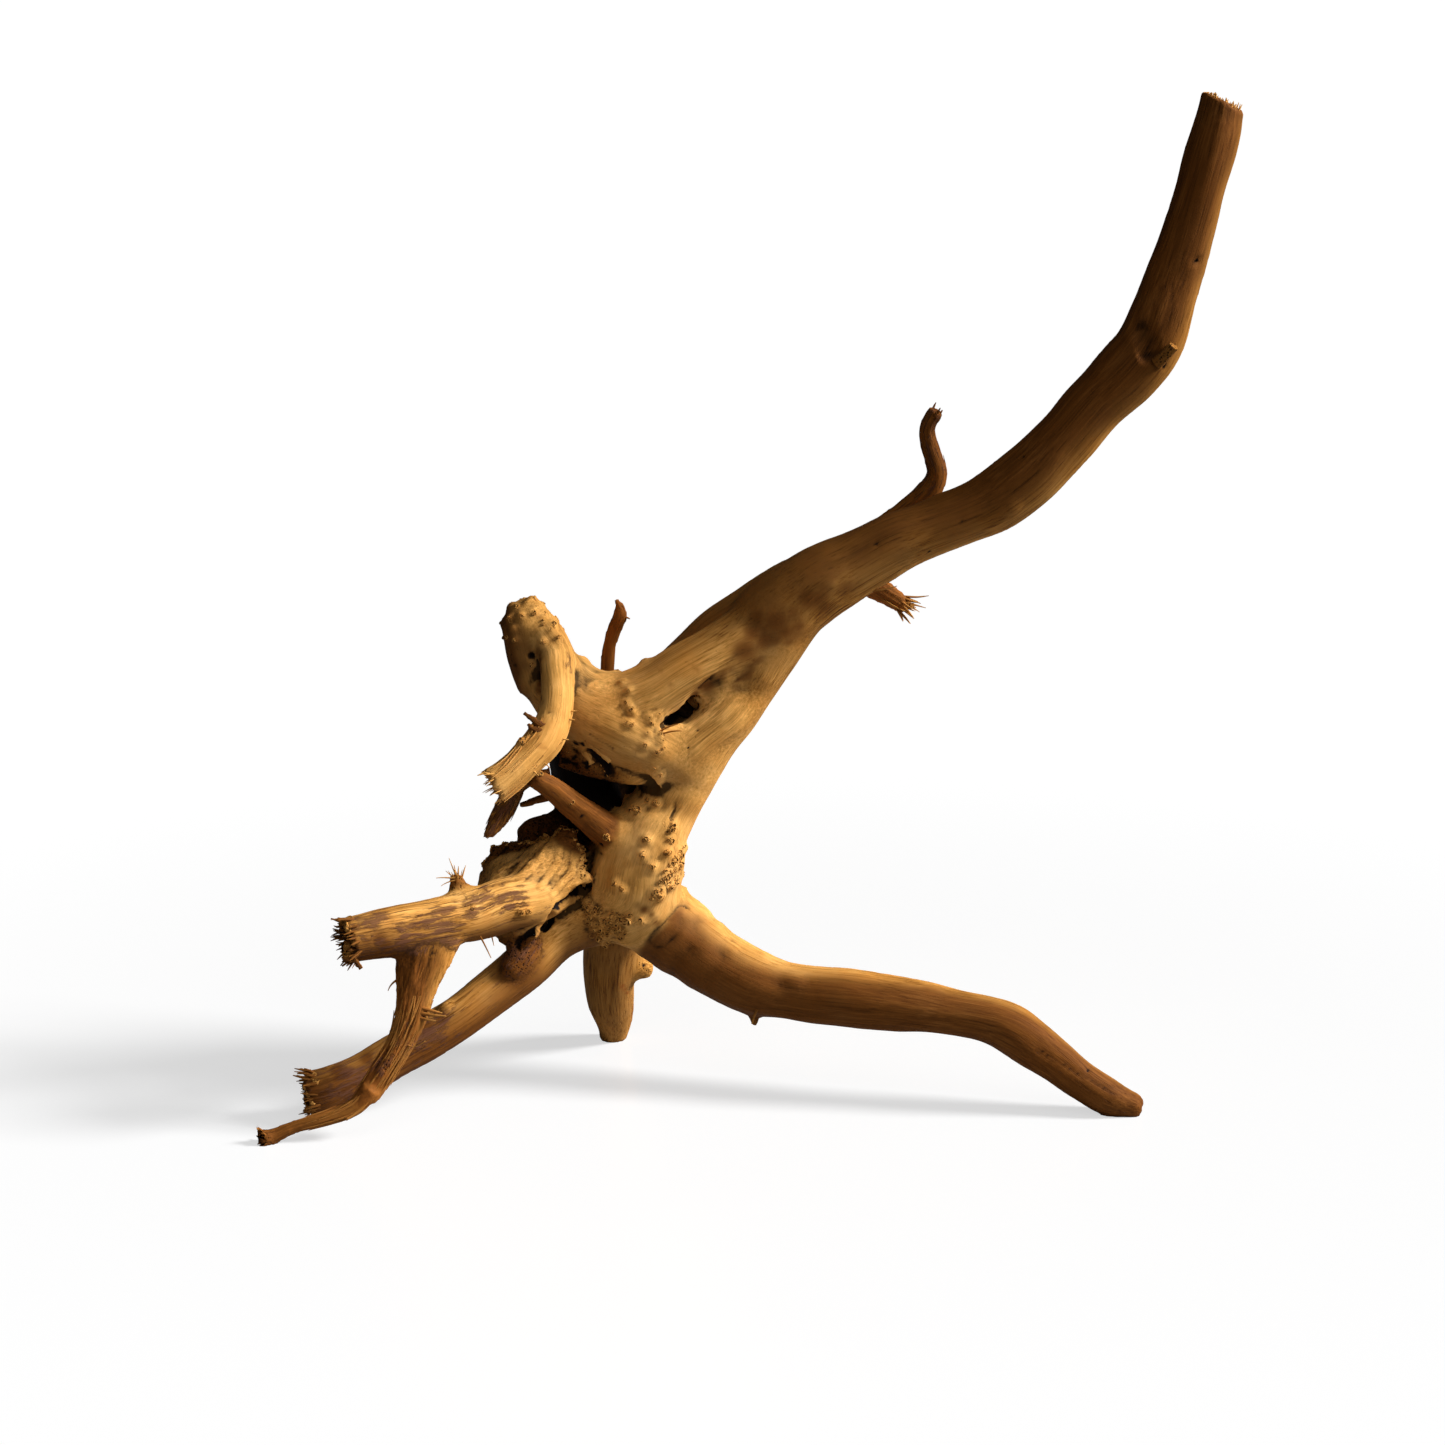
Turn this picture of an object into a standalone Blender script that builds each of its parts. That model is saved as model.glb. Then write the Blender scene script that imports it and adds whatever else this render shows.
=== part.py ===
"""A dry root, washed and bleached, that stands on three low points.

It grew as one piece, so it is one solid. Every limb is a run of stations along its middle line, and the
limbs grow together: their tubes are fused, the crotches are filled as wood fills them, and the flutes,
wrinkles, warts and broken ends are then raised from the fused skin. X runs across, Y from front to back
and Z up. The origin is on the floor, under the middle of the whole root.

Tables are in millimetres. The finished mesh is in metres.
"""

import math
from dataclasses import dataclass

import bmesh
import bpy
import numpy as np
from mathutils import Vector
from mathutils.bvhtree import BVHTree

MM = 0.001

# Fineness of the work, in millimetres and turns
VOXEL = 1.6
STATION_STEP = 2.5
RING_SIDES = 20
ROUND_TIP_RINGS = (0.35, 0.65, 0.9)  # how far along its radius a round tip has its rings
RELAX_TURNS = 5
RELAX_IN = 0.5
RELAX_OUT = 0.52
CROTCH_TURNS = 60
CROTCH_STEP = 0.7
TRIANGLES = 6150
WELD = 0.02

# Skin that reaches lower than this is pressed flat on the floor, where the root stands
FOOT_PRESS = 0.5

# The front of the crown is looked at from a little above
SIGHT_DOWN = math.radians(13)
SIGHT_PLANE = -9
SIGHT_START = 200  # how far in front of that plane a line of sight starts
SIGHT = Vector((0, math.cos(SIGHT_DOWN), -math.sin(SIGHT_DOWN)))


@dataclass(frozen=True)
class Limb:
    """One limb: stations of x, y, z and radius from its buried end to its tip."""

    name: str
    stations: tuple
    thickness: float = 1.0  # front to back, as a share of the width
    round_tip: bool = False
    ragged: float = 0.0  # how far the fibres stand out of a broken tip


LIMBS = (
    Limb("leader", (
        (6.5, 13, 182, 15), (12, 11, 191.5, 16), (28.5, 10, 204.5, 15), (43, 9, 213, 13.5),
        (57.5, 9, 221.5, 12.4), (72, 8, 227.2, 11.6), (93.5, 7, 236, 12), (110.8, 6, 248.3, 12.7),
        (124.8, 5, 264.2, 11.7), (136, 4, 277.8, 11.5), (149, 3, 290.7, 13), (156.8, 2, 302.5, 12.7),
        (163, 1, 322, 11.1), (170, 0, 348, 10.1), (177, -1, 375.5, 9.5), (181, -1, 395, 8.4)),
        ragged=0.6),
    Limb("right_arm", (
        (27, 11, 203.5, 13), (12.5, 13, 188, 16), (1.5, 13, 169, 14.5), (-8, 12, 152.5, 13),
        (-19, 11, 137, 13.5), (-28.5, 11, 120.5, 13.8), (-35.5, 13, 104, 13.2))),
    Limb("left_arm", (
        (26, 10, 202, 12), (12, 11, 189.5, 15), (-3.5, 7, 181, 12.5), (-19.5, 3, 173, 11.3),
        (-35, 1, 163.5, 12), (-47, 2, 158, 13))),
    Limb("cheek", (
        (-38, 5, 134, 13), (-25.5, 5, 141, 12), (-16.5, 6, 148, 12), (-8, 8, 154.5, 12), (0, 11, 163, 12))),
    Limb("saddle", (
        (-77.5, 9, 170, 13), (-65, 6, 158, 16), (-51, 4, 151.5, 17.5), (-38, 4, 144.5, 16),
        (-27.5, 7, 136.5, 13.5), (-19.5, 11, 127.5, 12))),
    Limb("knob", (
        (-77, 11, 165.5, 13), (-80.5, 11, 174.5, 13), (-83, 11, 181, 12.5), (-85, 11, 187, 11.2)),
        round_tip=True),
    Limb("hook", (
        (-79, 6, 186, 8), (-74, 0, 179.5, 7.4), (-72.8, -9, 173.5, 6.8), (-72.4, -16, 168, 6.6),
        (-72.7, -21, 163.5, 6.8), (-74.2, -26, 157.5, 7.1), (-78, -31, 151, 7.1), (-85, -36, 144.5, 6.8),
        (-91.5, -39.5, 139.3, 7), (-96.5, -41.5, 136.3, 7.2)),
        ragged=2.0),
    Limb("strut", (
        (-48, 5, 101, 8.5), (-53.5, 2, 106, 7), (-61, -3, 113.5, 6), (-68.5, -9, 121, 5), (-76, -15, 129, 4.5),
        (-83, -19, 134, 3.5))),
    Limb("lower_burl", (
        (-28.5, 11, 117, 12), (-37, 9, 106, 15.5), (-42, 7, 92.5, 18), (-45.5, 7, 79, 18),
        (-49, 11, 65, 13.5))),
    Limb("left_root", (
        (-48, 11, 73.5, 14.5), (-62, 9, 69.5, 13.2), (-75, 3, 63, 10.9), (-87, -6, 53.2, 9.6),
        (-101.5, -13, 42.7, 8.6), (-115, -19.5, 34.2, 8.6), (-132, -26, 25.8, 8.8),
        (-147.5, -32, 17.5, 8.5), (-162, -37, 12, 9), (-170.5, -39, 10.5, 9)),
        ragged=2.5),
    Limb("broken_root", (
        (-61, 13, 87, 8), (-73.5, 3, 83.5, 9), (-83.5, -8, 82.5, 10.5), (-94, -18, 82.5, 11),
        (-105.5, -27, 80.5, 10.5), (-118.5, -35, 80, 9.6), (-133.5, -42, 79, 9.5),
        (-146.5, -48, 78, 8.5), (-153, -51, 77.5, 8)),
        ragged=3.0),
    Limb("strap", (
        (-121, -38, 77, 12), (-125, -42, 66, 9.6), (-127.3, -46, 55.5, 7.2), (-129, -50, 47, 6),
        (-133, -53, 36.5, 5), (-140, -56, 25.5, 5), (-146.5, -59, 16, 4.5)),
        thickness=0.6),
    Limb("thin_tip", (
        (-144, -58, 20, 4.5), (-151.5, -60, 12.5, 3.5), (-162, -62, 9, 3), (-173.5, -63, 6, 2.5),
        (-182, -64.5, 2.5, 3), (-187, -66.5, 2, 3.8)),
        ragged=1.0),
    Limb("right_root", (
        (-38, 15, 68.5, 16), (-24.5, 10, 59.2, 14.7), (-10.5, 6, 50.3, 13.4), (4.5, 1, 44, 13.2),
        (20.5, -3, 41.2, 11.5), (42, -9, 40.8, 11.3), (62, -14, 39.8, 10.8), (80, -18, 38, 9.5),
        (95, -21, 36, 9.5), (105, -23, 33, 10), (114.5, -25, 27, 9.5), (123.5, -27, 21, 8.5),
        (133, -29, 13.5, 7.5), (144, -31, 7, 7.5), (152.5, -32, 4, 5.5)),
        round_tip=True, ragged=1.0),
    Limb("back_limb", (
        (46, 13, 213.5, 11), (22.5, 24, 199.5, 13.5), (4.5, 32, 187, 13.5), (-12.5, 38, 173.5, 13.5),
        (-28, 42, 155, 14.5), (-38, 42, 130, 15.5), (-44.5, 39, 101.5, 16.5), (-50.5, 37, 68, 15),
        (-54, 43, 46, 12), (-55, 47, 36, 11.4), (-55.2, 50.5, 29, 11), (-55, 55.5, 19.4, 10),
        (-54.5, 59, 11.7, 8.3), (-54.5, 62, 4.9, 6.5), (-55.2, 64, -1, 5.2))),
    Limb("stub_bump", (
        (-52, 46, 38, 7), (-41.5, 45, 36.6, 4.6)),
        round_tip=True),
    Limb("splinter", (
        (-44, 36, 146, 4.5), (-51, 37, 152, 3.4), (-54.5, 36, 157.5, 3), (-54.8, 35, 164.5, 3),
        (-54.4, 34, 171.5, 2.7), (-53.3, 33, 178, 2.7), (-51.4, 32, 183.5, 2.9), (-49.6, 31, 188, 2.8),
        (-49.7, 30.5, 191.5, 1.9), (-50.9, 30, 195, 0.9)),
        thickness=0.7),
    Limb("curl", (
        (42, 25, 213, 4), (54, 30, 223.5, 4), (65, 31, 232, 4), (72.5, 29, 238, 4.8),
        (76.5, 27, 246, 4), (73.5, 25, 257, 3.5), (72, 24, 265, 3), (75.5, 22, 272, 3))),
    Limb("torn_stub", (
        (42, 25, 207, 5.5), (51, 27, 201.5, 5), (59, 27, 196.5, 4), (64.5, 26, 193, 3)),
        thickness=0.6, ragged=2.0),
    Limb("back_web", (
        (-70, 13, 160, 12), (-69, 20, 144, 11), (-66, 24, 126, 11.5), (-62, 25, 108, 13))),
    Limb("heel", (
        (-50, 18, 82, 12), (-66, 18, 82, 9), (-80, 14, 80, 7)),
        round_tip=True),
    Limb("back_burl", (
        (-62, 23, 93, 12), (-74, 21, 99, 10.5), (-84, 19, 100, 7)),
        round_tip=True, ragged=1.5),
    Limb("dark_strip", (
        (-76, -9, 133, 2.4), (-82, -9, 132, 2.6), (-88.1, -10, 129.2, 3.2), (-90.6, -11.5, 126.5, 3.9),
        (-92.9, -13, 122, 4.1), (-95.6, -14.5, 117.2, 3.8), (-98.7, -16, 112.3, 2.6), (-101.3, -17, 109, 1.3)),
        thickness=0.6),
    Limb("under_lip", (
        (-72, 2, 138, 5), (-63, 0, 135.5, 5.2), (-55.7, -1, 134, 5.2), (-47, 0, 131.8, 5.2),
        (-38, 3, 129.8, 5))),
    Limb("frayed_knot", (
        (-84, -6, 62, 6), (-88.5, -12, 57.5, 6), (-92, -15, 54.5, 5)),
        round_tip=True, ragged=1.5),
    Limb("dark_twig", (
        (-68, 1, 122.5, 2.4), (-75, -1, 122.5, 2), (-82.5, -3, 120.5, 1.6), (-88.5, -5, 119, 1.2))),
    Limb("peg", (
        (2, 2, 36, 2.2), (4, 1, 29, 1.6), (5, 1, 26.5, 1.2))),
    Limb("side_knob", (
        (-109.5, -27, 84, 4.5), (-110.5, -25, 88, 4), (-112, -25, 92, 3), (-112.5, -25, 96, 2.2)),
        ragged=1.0),
)

# The torn collar where the broken root once joined the trunk: its scalloped lip, seen from the front,
# from the dark lobe at the left over the top and down the right side to the bottom
COLLAR_LIP = (
    (-105, 13, 89.5), (-100.5, 13, 97.8), (-93, 10, 100.3), (-85.5, 6, 100), (-80, 3, 104), (-75.5, 1, 103),
    (-72.5, 1, 108), (-68, 0, 107), (-64.5, -2, 100), (-64.5, -5, 92.5), (-61, -6, 88.5), (-67.5, -9, 87),
    (-74.5, -13, 80.5), (-80, -16, 74.5), (-82, -17, 68), (-88, -16, 63.5), (-95.5, -12, 63.5),
    (-102, -5, 68), (-105.8, 4, 74.5), (-107.2, 10, 82),
)
COLLAR_THROAT = Vector((-98, -21, 82.5))
COLLAR_THROAT_RADIUS = 10.5
COLLAR_HUB = Vector((-84, -5, 84))
COLLAR_WALL = 3.4
COLLAR_RINGS = 6
COLLAR_WAIST = 5.0  # how far the flare hangs back towards the root before it opens
COLLAR_EDGE = (0.8, 0.94)  # the lip's inner edge: how deep in the wall and how far out from the hub
COLLAR_HOLLOW = 0.6  # how far out from the hub the inside begins

# Places that stay open between limbs that meet: centre and reach
OPEN_GAPS = (
    ((-53, -3, 125), 12), ((-38, 0, 124), 9), ((-66, 4, 124), 11),  # the cleft under the saddle
    ((-24, -2, 157), 6),  # the eye between the two arms
    ((-84, -8, 84), 22), ((-66, -2, 92), 12),  # the torn collar
    ((-72, -12, 136), 9), ((-84, -2, 172), 6),  # behind the hook
    ((-138, -44, 48), 12),  # between the strap and the left root
)
GAP_RAMP = 0.35

# Warts, as x and z where a line of sight from the front crosses the plane y = SIGHT_PLANE
WARTS = {
    "burl_buttons": (3.0, 2.0, ((-43, 118.5), (-28.5, 111), (-55, 72))),
    "burl": (2.3, 1.9, (
        (-38.5, 106), (-40.5, 100), (-36.5, 95), (-51.5, 88), (-48.5, 85.5), (-54, 107), (-34.5, 121),
        (-38, 122), (-30.5, 100.5), (-41, 72.5))),
    "burl_edge": (2.1, 1.6, (
        (-29, 106.5), (-23.5, 102.5), (-25.5, 100), (-27.5, 98), (-25, 95.5), (-29.5, 91.5),
        (-26.5, 89.5), (-31.5, 88.5), (-33.5, 85.5), (-36.5, 82))),
    "chin": (2.1, 1.8, (
        (-62.5, 80.5), (-59, 76), (-61.5, 75), (-60, 72.5), (-53, 74), (-50.5, 72.5), (-57, 69.5),
        (-57.5, 66.5), (-54.5, 67.5), (-49, 67), (-46.5, 72.5), (-55.5, 63.5))),
    "saddle": (1.9, 1.3, (
        (-58.5, 168), (-46, 161.5), (-43, 157), (-46, 153.5), (-48, 170), (-45, 166), (-37, 156),
        (-33.5, 156.5), (-36, 153), (-37.5, 149.5), (-33, 149.5), (-32, 146), (-39, 144.5),
        (-34, 141.5), (-35.5, 135), (-33, 132.5))),
    "knob": (1.9, 1.4, (
        (-89, 199.5), (-84.5, 201), (-82, 197.5), (-77.5, 197), (-72, 195.5), (-75, 190.5),
        (-71.5, 193), (-70, 190.5), (-68.5, 187), (-72, 187.5), (-79, 185.5), (-89.5, 186.5),
        (-83, 177), (-90, 191), (-93, 187.5))),
    "roots": (3.0, 2.0, (
        (-68.5, 120.5), (-108, 78.5), (-88.5, 76.5), (-87.5, 145.5), (-81.5, 133), (-70, 141.5))),
}
# Where the unseen sides carry warts of the same kind: centre, reach, least distance apart
WART_FIELDS = (
    ((-48, 22, 90), 30, 6.5), ((-85, 14, 192), 13, 5.0), ((-50, 14, 158), 22, 8.0), ((-56, 20, 72), 16, 5.5),
)
WART_RADIUS = 2.1
WART_HEIGHT = 1.6
WART_SIZES = (0.8, 1.25)
WART_FACING = -0.2  # warts of the unseen sides keep off skin that faces the front more than this
WART_SEED = 13
WART_SIDES = 5
WART_ROOT = 1.5  # how deep each wart's root is sunk
WART_SHOULDER = (0.74, 0.62)  # where a wart's flank turns in: share of its radius and of its height

KNOT_FACING = 0.1  # a knot raises only skin that faces its own way at least this much
# Knots, each with its centre near the skin, radius and height
KNOTS = (
    ((151, -12, 299), 5.0, 2.6),
    ((20, -14, 50), 5.5, 2.2), ((-4, -6, 65), 4.5, 2.0),
    ((104, -10, 236), 6.0, 1.6),
    ((-88, -14, 62), 6.0, 2.4), ((-118, -24, 42), 4.5, 1.6),
)

# Growth wrinkles across the crotch of the right root: centre, reach, wavelength and height
WRINKLES = ((-24, 4, 64), 24, 13.0, 0.6)
WRINKLE_BEND = (9, 2)  # size of the lumps that bend the wrinkles, and how far they bend them

FLUTE_WIDTH = 7.0
FLUTE_LENGTH = 55.0
FLUTE_SHARE = 0.075  # height as a share of the limb's radius
FLUTE_SHIFT = 17.3  # how far apart in the noise two limbs' flutes lie
SWELL_SIZE = 15.0
SWELL_HEIGHT = 0.7
SWELL_FULL = 10  # limbs of this radius and more have the full height
SEAM_FADE = 5.0  # relief fades out this close to where two limbs meet
TIP_REACH = 2.0
FIBRE_SIZE = 3.0
FIBRE_SHIFT = 5.1  # how far apart in the noise two limbs' fibres lie


def smooth_noise(points, seed):
    """Smooth noise from -1 to 1 at each row of points, with lumps one unit apart."""
    cell = np.floor(points).astype(np.int64)
    part = points - cell
    part = part * part * (3 - 2 * part)
    total = np.zeros(len(points))
    for corner in np.ndindex(2, 2, 2):
        at = cell + corner
        mixed = (at[:, 0] * 73856093) ^ (at[:, 1] * 19349663) ^ (at[:, 2] * 83492791) ^ (seed * 961748941)
        mixed &= 0xFFFFFFFF
        mixed = ((mixed ^ (mixed >> 13)) * 1274126177) & 0xFFFFFFFF
        value = ((mixed ^ (mixed >> 16)) & 0xFFFFFF) / 0x7FFFFF - 1
        total += value * np.prod(np.where(corner, part, 1 - part), axis=1)
    return total


def run_of(limb):
    """The limb's middle line as an even run: points, radii and unit directions."""
    table = np.array(limb.stations, float)
    before = np.vstack([2 * table[0] - table[1], table, 2 * table[-1] - table[-2]])
    rows = []
    for k in range(1, len(before) - 2):
        a, b, c, d = before[k - 1 : k + 3]
        steps = max(2, round(float(np.linalg.norm(c[:3] - b[:3])) / STATION_STEP))
        for t in np.linspace(0, 1, steps, endpoint=False):
            rows.append(0.5 * (2 * b + (c - a) * t + (2 * a - 5 * b + 4 * c - d) * t**2
                               + (3 * b - a - 3 * c + d) * t**3))
    rows.append(table[-1])
    rows = np.array(rows)
    points, radii = rows[:, :3], rows[:, 3]
    ways = np.gradient(points, axis=0)
    ways /= np.linalg.norm(ways, axis=1)[:, None]
    return points, radii, ways


def side_axes(ways):
    """For each direction, an axis across it and one that runs as nearly as it can front to back."""
    across = np.cross(ways, (0.0, 1.0, 0.0))
    across /= np.linalg.norm(across, axis=1)[:, None]
    return across, np.cross(across, ways)


def skin(bm, rings):
    """Joins rings of points into a closed skin in the bmesh."""
    loops = [[bm.verts.new(p) for p in ring] for ring in rings]
    for near, far in zip(loops, loops[1:]):
        for k in range(len(near)):
            nxt = (k + 1) % len(near)
            bm.faces.new((near[k], near[nxt], far[nxt], far[k]))
    bm.faces.new(list(reversed(loops[0])))
    bm.faces.new(loops[-1])


def add_limb(bm, limb):
    """Adds one limb's tube."""
    points, radii, ways = run_of(limb)
    across, deep = side_axes(ways)
    turns = np.linspace(0, 2 * math.pi, RING_SIDES, endpoint=False)
    rows = list(zip(points, radii, across, deep))
    if limb.round_tip:
        for lift in ROUND_TIP_RINGS:
            bulge = math.sqrt(1 - lift**2)
            rows.append((points[-1] + ways[-1] * radii[-1] * lift, radii[-1] * bulge, across[-1], deep[-1]))
    rings = [
        [p + r * (math.cos(t) * a + limb.thickness * math.sin(t) * d) for t in turns] for p, r, a, d in rows
    ]
    skin(bm, rings)


def add_collar(bm):
    """Adds the torn collar: a flare from the broken root's throat out to the scalloped lip."""
    axis = (COLLAR_HUB - COLLAR_THROAT).normalized()
    lip = [Vector(p) for p in COLLAR_LIP]
    throat = []
    for p in lip:
        out = p - COLLAR_HUB
        out = (out - axis * out.dot(axis)).normalized()
        throat.append(COLLAR_THROAT + out * COLLAR_THROAT_RADIUS)
    rings = []
    for k in range(COLLAR_RINGS + 1):
        share = k / COLLAR_RINGS
        hang = COLLAR_WAIST * math.sin(math.pi * share)
        rings.append([a.lerp(b, share) - (b - COLLAR_HUB).normalized() * hang for a, b in zip(throat, lip)])
    deep, out = COLLAR_EDGE
    rings.append([COLLAR_HUB + (p - COLLAR_HUB) * out + axis * COLLAR_WALL * deep for p in lip])
    rings.append([COLLAR_HUB + (p - COLLAR_HUB) * COLLAR_HOLLOW + axis * COLLAR_WALL for p in lip])
    skin(bm, rings)


def raw_root():
    """The object with every limb's tube in it, not yet fused."""
    bm = bmesh.new()
    for limb in LIMBS:
        add_limb(bm, limb)
    add_collar(bm)
    for face in bm.faces[:]:
        if len(face.verts) > 4:
            bmesh.ops.poke(bm, faces=[face])
    bmesh.ops.recalc_face_normals(bm, faces=bm.faces)
    mesh = bpy.data.meshes.new("dry_root")
    bm.to_mesh(mesh)
    bm.free()
    root = bpy.data.objects.new("dry_root", mesh)
    bpy.context.scene.collection.objects.link(root)
    return root


def apply_modifiers(root):
    """Replaces the object's mesh by its evaluated one and clears the modifiers."""
    seen = root.evaluated_get(bpy.context.evaluated_depsgraph_get())
    mesh = bpy.data.meshes.new_from_object(seen)
    old = root.data
    root.modifiers.clear()
    root.data = mesh
    bpy.data.meshes.remove(old)


def fuse(root):
    """Fuses the tubes into one skin of even squares."""
    remesh = root.modifiers.new("fuse", "REMESH")
    remesh.mode = "VOXEL"
    remesh.voxel_size = VOXEL
    apply_modifiers(root)


class Skin:
    """The fused skin as arrays: points, edges and triangles, in millimetres."""

    def __init__(self, mesh):
        self.mesh = mesh
        self.points = np.empty(len(mesh.vertices) * 3)
        mesh.vertices.foreach_get("co", self.points)
        self.points = self.points.reshape(-1, 3)
        self.edges = np.empty(len(mesh.edges) * 2, np.int64)
        mesh.edges.foreach_get("vertices", self.edges)
        self.edges = self.edges.reshape(-1, 2)
        mesh.calc_loop_triangles()
        self.triangles = np.empty(len(mesh.loop_triangles) * 3, np.int64)
        mesh.loop_triangles.foreach_get("vertices", self.triangles)
        self.triangles = self.triangles.reshape(-1, 3)
        self.valence = np.bincount(self.edges.ravel(), minlength=len(self.points)).astype(float)

    def write(self):
        """Puts the points back into the mesh."""
        self.mesh.vertices.foreach_set("co", self.points.ravel())
        self.mesh.update()

    def normals(self):
        """Unit normals at the points, by area."""
        a, b, c = (self.points[self.triangles[:, k]] for k in range(3))
        flat = np.cross(b - a, c - a)
        total = np.zeros_like(self.points)
        for axis in range(3):
            for corner in range(3):
                total[:, axis] += np.bincount(self.triangles[:, corner], flat[:, axis], len(self.points))
        return total / np.maximum(np.linalg.norm(total, axis=1), 1e-12)[:, None]

    def pull(self):
        """From each point to the middle of its neighbours."""
        total = np.zeros_like(self.points)
        start, end = self.edges.T
        for axis in range(3):
            total[:, axis] = np.bincount(start, self.points[end, axis], len(self.points))
            total[:, axis] += np.bincount(end, self.points[start, axis], len(self.points))
        return total / self.valence[:, None] - self.points

    def relax(self, turns):
        """Takes the steps of the squares out without shrinking the limbs."""
        for _ in range(turns):
            self.points += RELAX_IN * self.pull()
            self.points -= RELAX_OUT * self.pull()

    def fill_crotches(self, turns, open_share):
        """Fills hollows between limbs with wood, and never takes any away."""
        for _ in range(turns):
            normals = self.normals()
            rise = np.einsum("ij,ij->i", self.pull(), normals)
            self.points += (np.maximum(rise, 0) * CROTCH_STEP * open_share)[:, None] * normals


def distance_to(points, centre):
    """Each point's distance from the centre."""
    return np.linalg.norm(points - np.array(centre, float), axis=1)


def keep_gaps_open(points):
    """0 within a gap that stays open, 1 away from it."""
    share = np.ones(len(points))
    for centre, reach in OPEN_GAPS:
        share = np.minimum(share, np.clip((distance_to(points, centre) / reach - 1) / GAP_RAMP, 0, 1))
    return share


class Grain:
    """Where each point lies on its limb: across it, deep into it and along it."""

    def __init__(self, points):
        count = len(points)
        self.first = np.full(count, np.inf)
        self.second = np.full(count, np.inf)
        self.limb = np.zeros(count, np.int64)
        self.local = np.zeros((count, 3))
        self.radius = np.zeros(count)
        for k, limb in enumerate(LIMBS):
            self.measure(points, k, *run_of(limb))

    def measure(self, points, index, middle, radii, ways):
        """Takes over the points that lie nearest to this limb."""
        across, deep = side_axes(ways)
        length = np.concatenate([[0], np.cumsum(np.linalg.norm(np.diff(middle, axis=0), axis=1))])
        gap = np.full(len(points), np.inf)
        best = np.zeros(len(points), np.int64)
        for k, (centre, radius) in enumerate(zip(middle, radii)):
            away = np.linalg.norm(points - centre, axis=1) - radius
            nearer = away < gap
            gap[nearer] = away[nearer]
            best[nearer] = k
        wins = gap < self.first
        self.second = np.where(wins, self.first, np.minimum(self.second, gap))
        self.first = np.where(wins, gap, self.first)
        out = points[wins] - middle[best[wins]]
        at = best[wins]
        self.limb[wins] = index
        self.radius[wins] = radii[at]
        self.local[wins, 0] = np.einsum("ij,ij->i", out, across[at])
        self.local[wins, 1] = np.einsum("ij,ij->i", out, deep[at])
        self.local[wins, 2] = length[at] + np.einsum("ij,ij->i", out, ways[at])

    def fade(self):
        """1 on a limb's own skin and 0 where two limbs meet."""
        return np.clip((self.second - self.first) / SEAM_FADE, 0, 1)


def flutes(grain):
    """Ridges and furrows along each limb."""
    at = grain.local / (FLUTE_WIDTH, FLUTE_WIDTH, FLUTE_LENGTH) + grain.limb[:, None] * FLUTE_SHIFT
    return smooth_noise(at, 1) * grain.radius * FLUTE_SHARE * grain.fade()


def wrinkles(points, grain):
    """Growth wrinkles across the crotch of the right root."""
    centre, reach, wave, height = WRINKLES
    share = np.clip(1 - distance_to(points, centre) / reach, 0, 1) ** 0.5
    bend = smooth_noise(points / WRINKLE_BEND[0], 3) * WRINKLE_BEND[1]
    return np.sin(grain.local[:, 2] / wave * 2 * math.pi + bend) * height * share * grain.fade()


def tear_tips(points, grain):
    """Pulls the broken tips out into fibres, and returns how far each point moves."""
    moves = np.zeros_like(points)
    for k, limb in enumerate(LIMBS):
        if not limb.ragged:
            continue
        middle, _, ways = run_of(limb)
        past = (points - middle[-1]) @ ways[-1] + TIP_REACH
        share = np.clip(past / TIP_REACH, 0, 1) * (grain.limb == k)
        at = np.column_stack([grain.local[:, :2] / FIBRE_SIZE, np.full(len(points), k * FIBRE_SHIFT)])
        moves += (smooth_noise(at, 5) * share * limb.ragged)[:, None] * ways[-1]
    return moves


def dome(points, normals, centre, way, radius, height):
    """A low dome raised from the skin round the centre, along way."""
    away = distance_to(points, centre) / radius
    facing = normals @ np.array(way) > KNOT_FACING
    return (np.clip(1 - away**2, 0, 1) ** 1.5 * facing * height)[:, None] * np.array(way)


def seen_spot(tree, x, z):
    """The skin's point and normal on the line of sight through x and z."""
    start = Vector((x, SIGHT_PLANE, z)) - SIGHT * SIGHT_START
    spot, normal, _, _ = tree.ray_cast(start, SIGHT)
    return spot, normal


def wart_spots(shape):
    """Every wart as its point, normal, radius and height: the seen ones, then those of the unseen sides."""
    tree = BVHTree.FromPolygons(shape.points.tolist(), shape.triangles.tolist())
    normals = shape.normals()
    spots = []
    for radius, height, places in WARTS.values():
        for x, z in places:
            spot, normal = seen_spot(tree, x, z)
            if spot is not None:
                spots.append((spot, normal, radius, height))
    draw = np.random.default_rng(WART_SEED)
    taken = [np.array(s[0]) for s in spots]
    for centre, reach, apart in WART_FIELDS:
        inside = np.flatnonzero((distance_to(shape.points, centre) < reach) & (normals[:, 1] > WART_FACING))
        for k in draw.permutation(inside):
            place = shape.points[k]
            if min(np.linalg.norm(place - t) for t in taken) > apart:
                taken.append(place)
                size = draw.uniform(*WART_SIZES)
                spots.append((place, normals[k], WART_RADIUS * size, WART_HEIGHT * size))
    return spots


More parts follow.
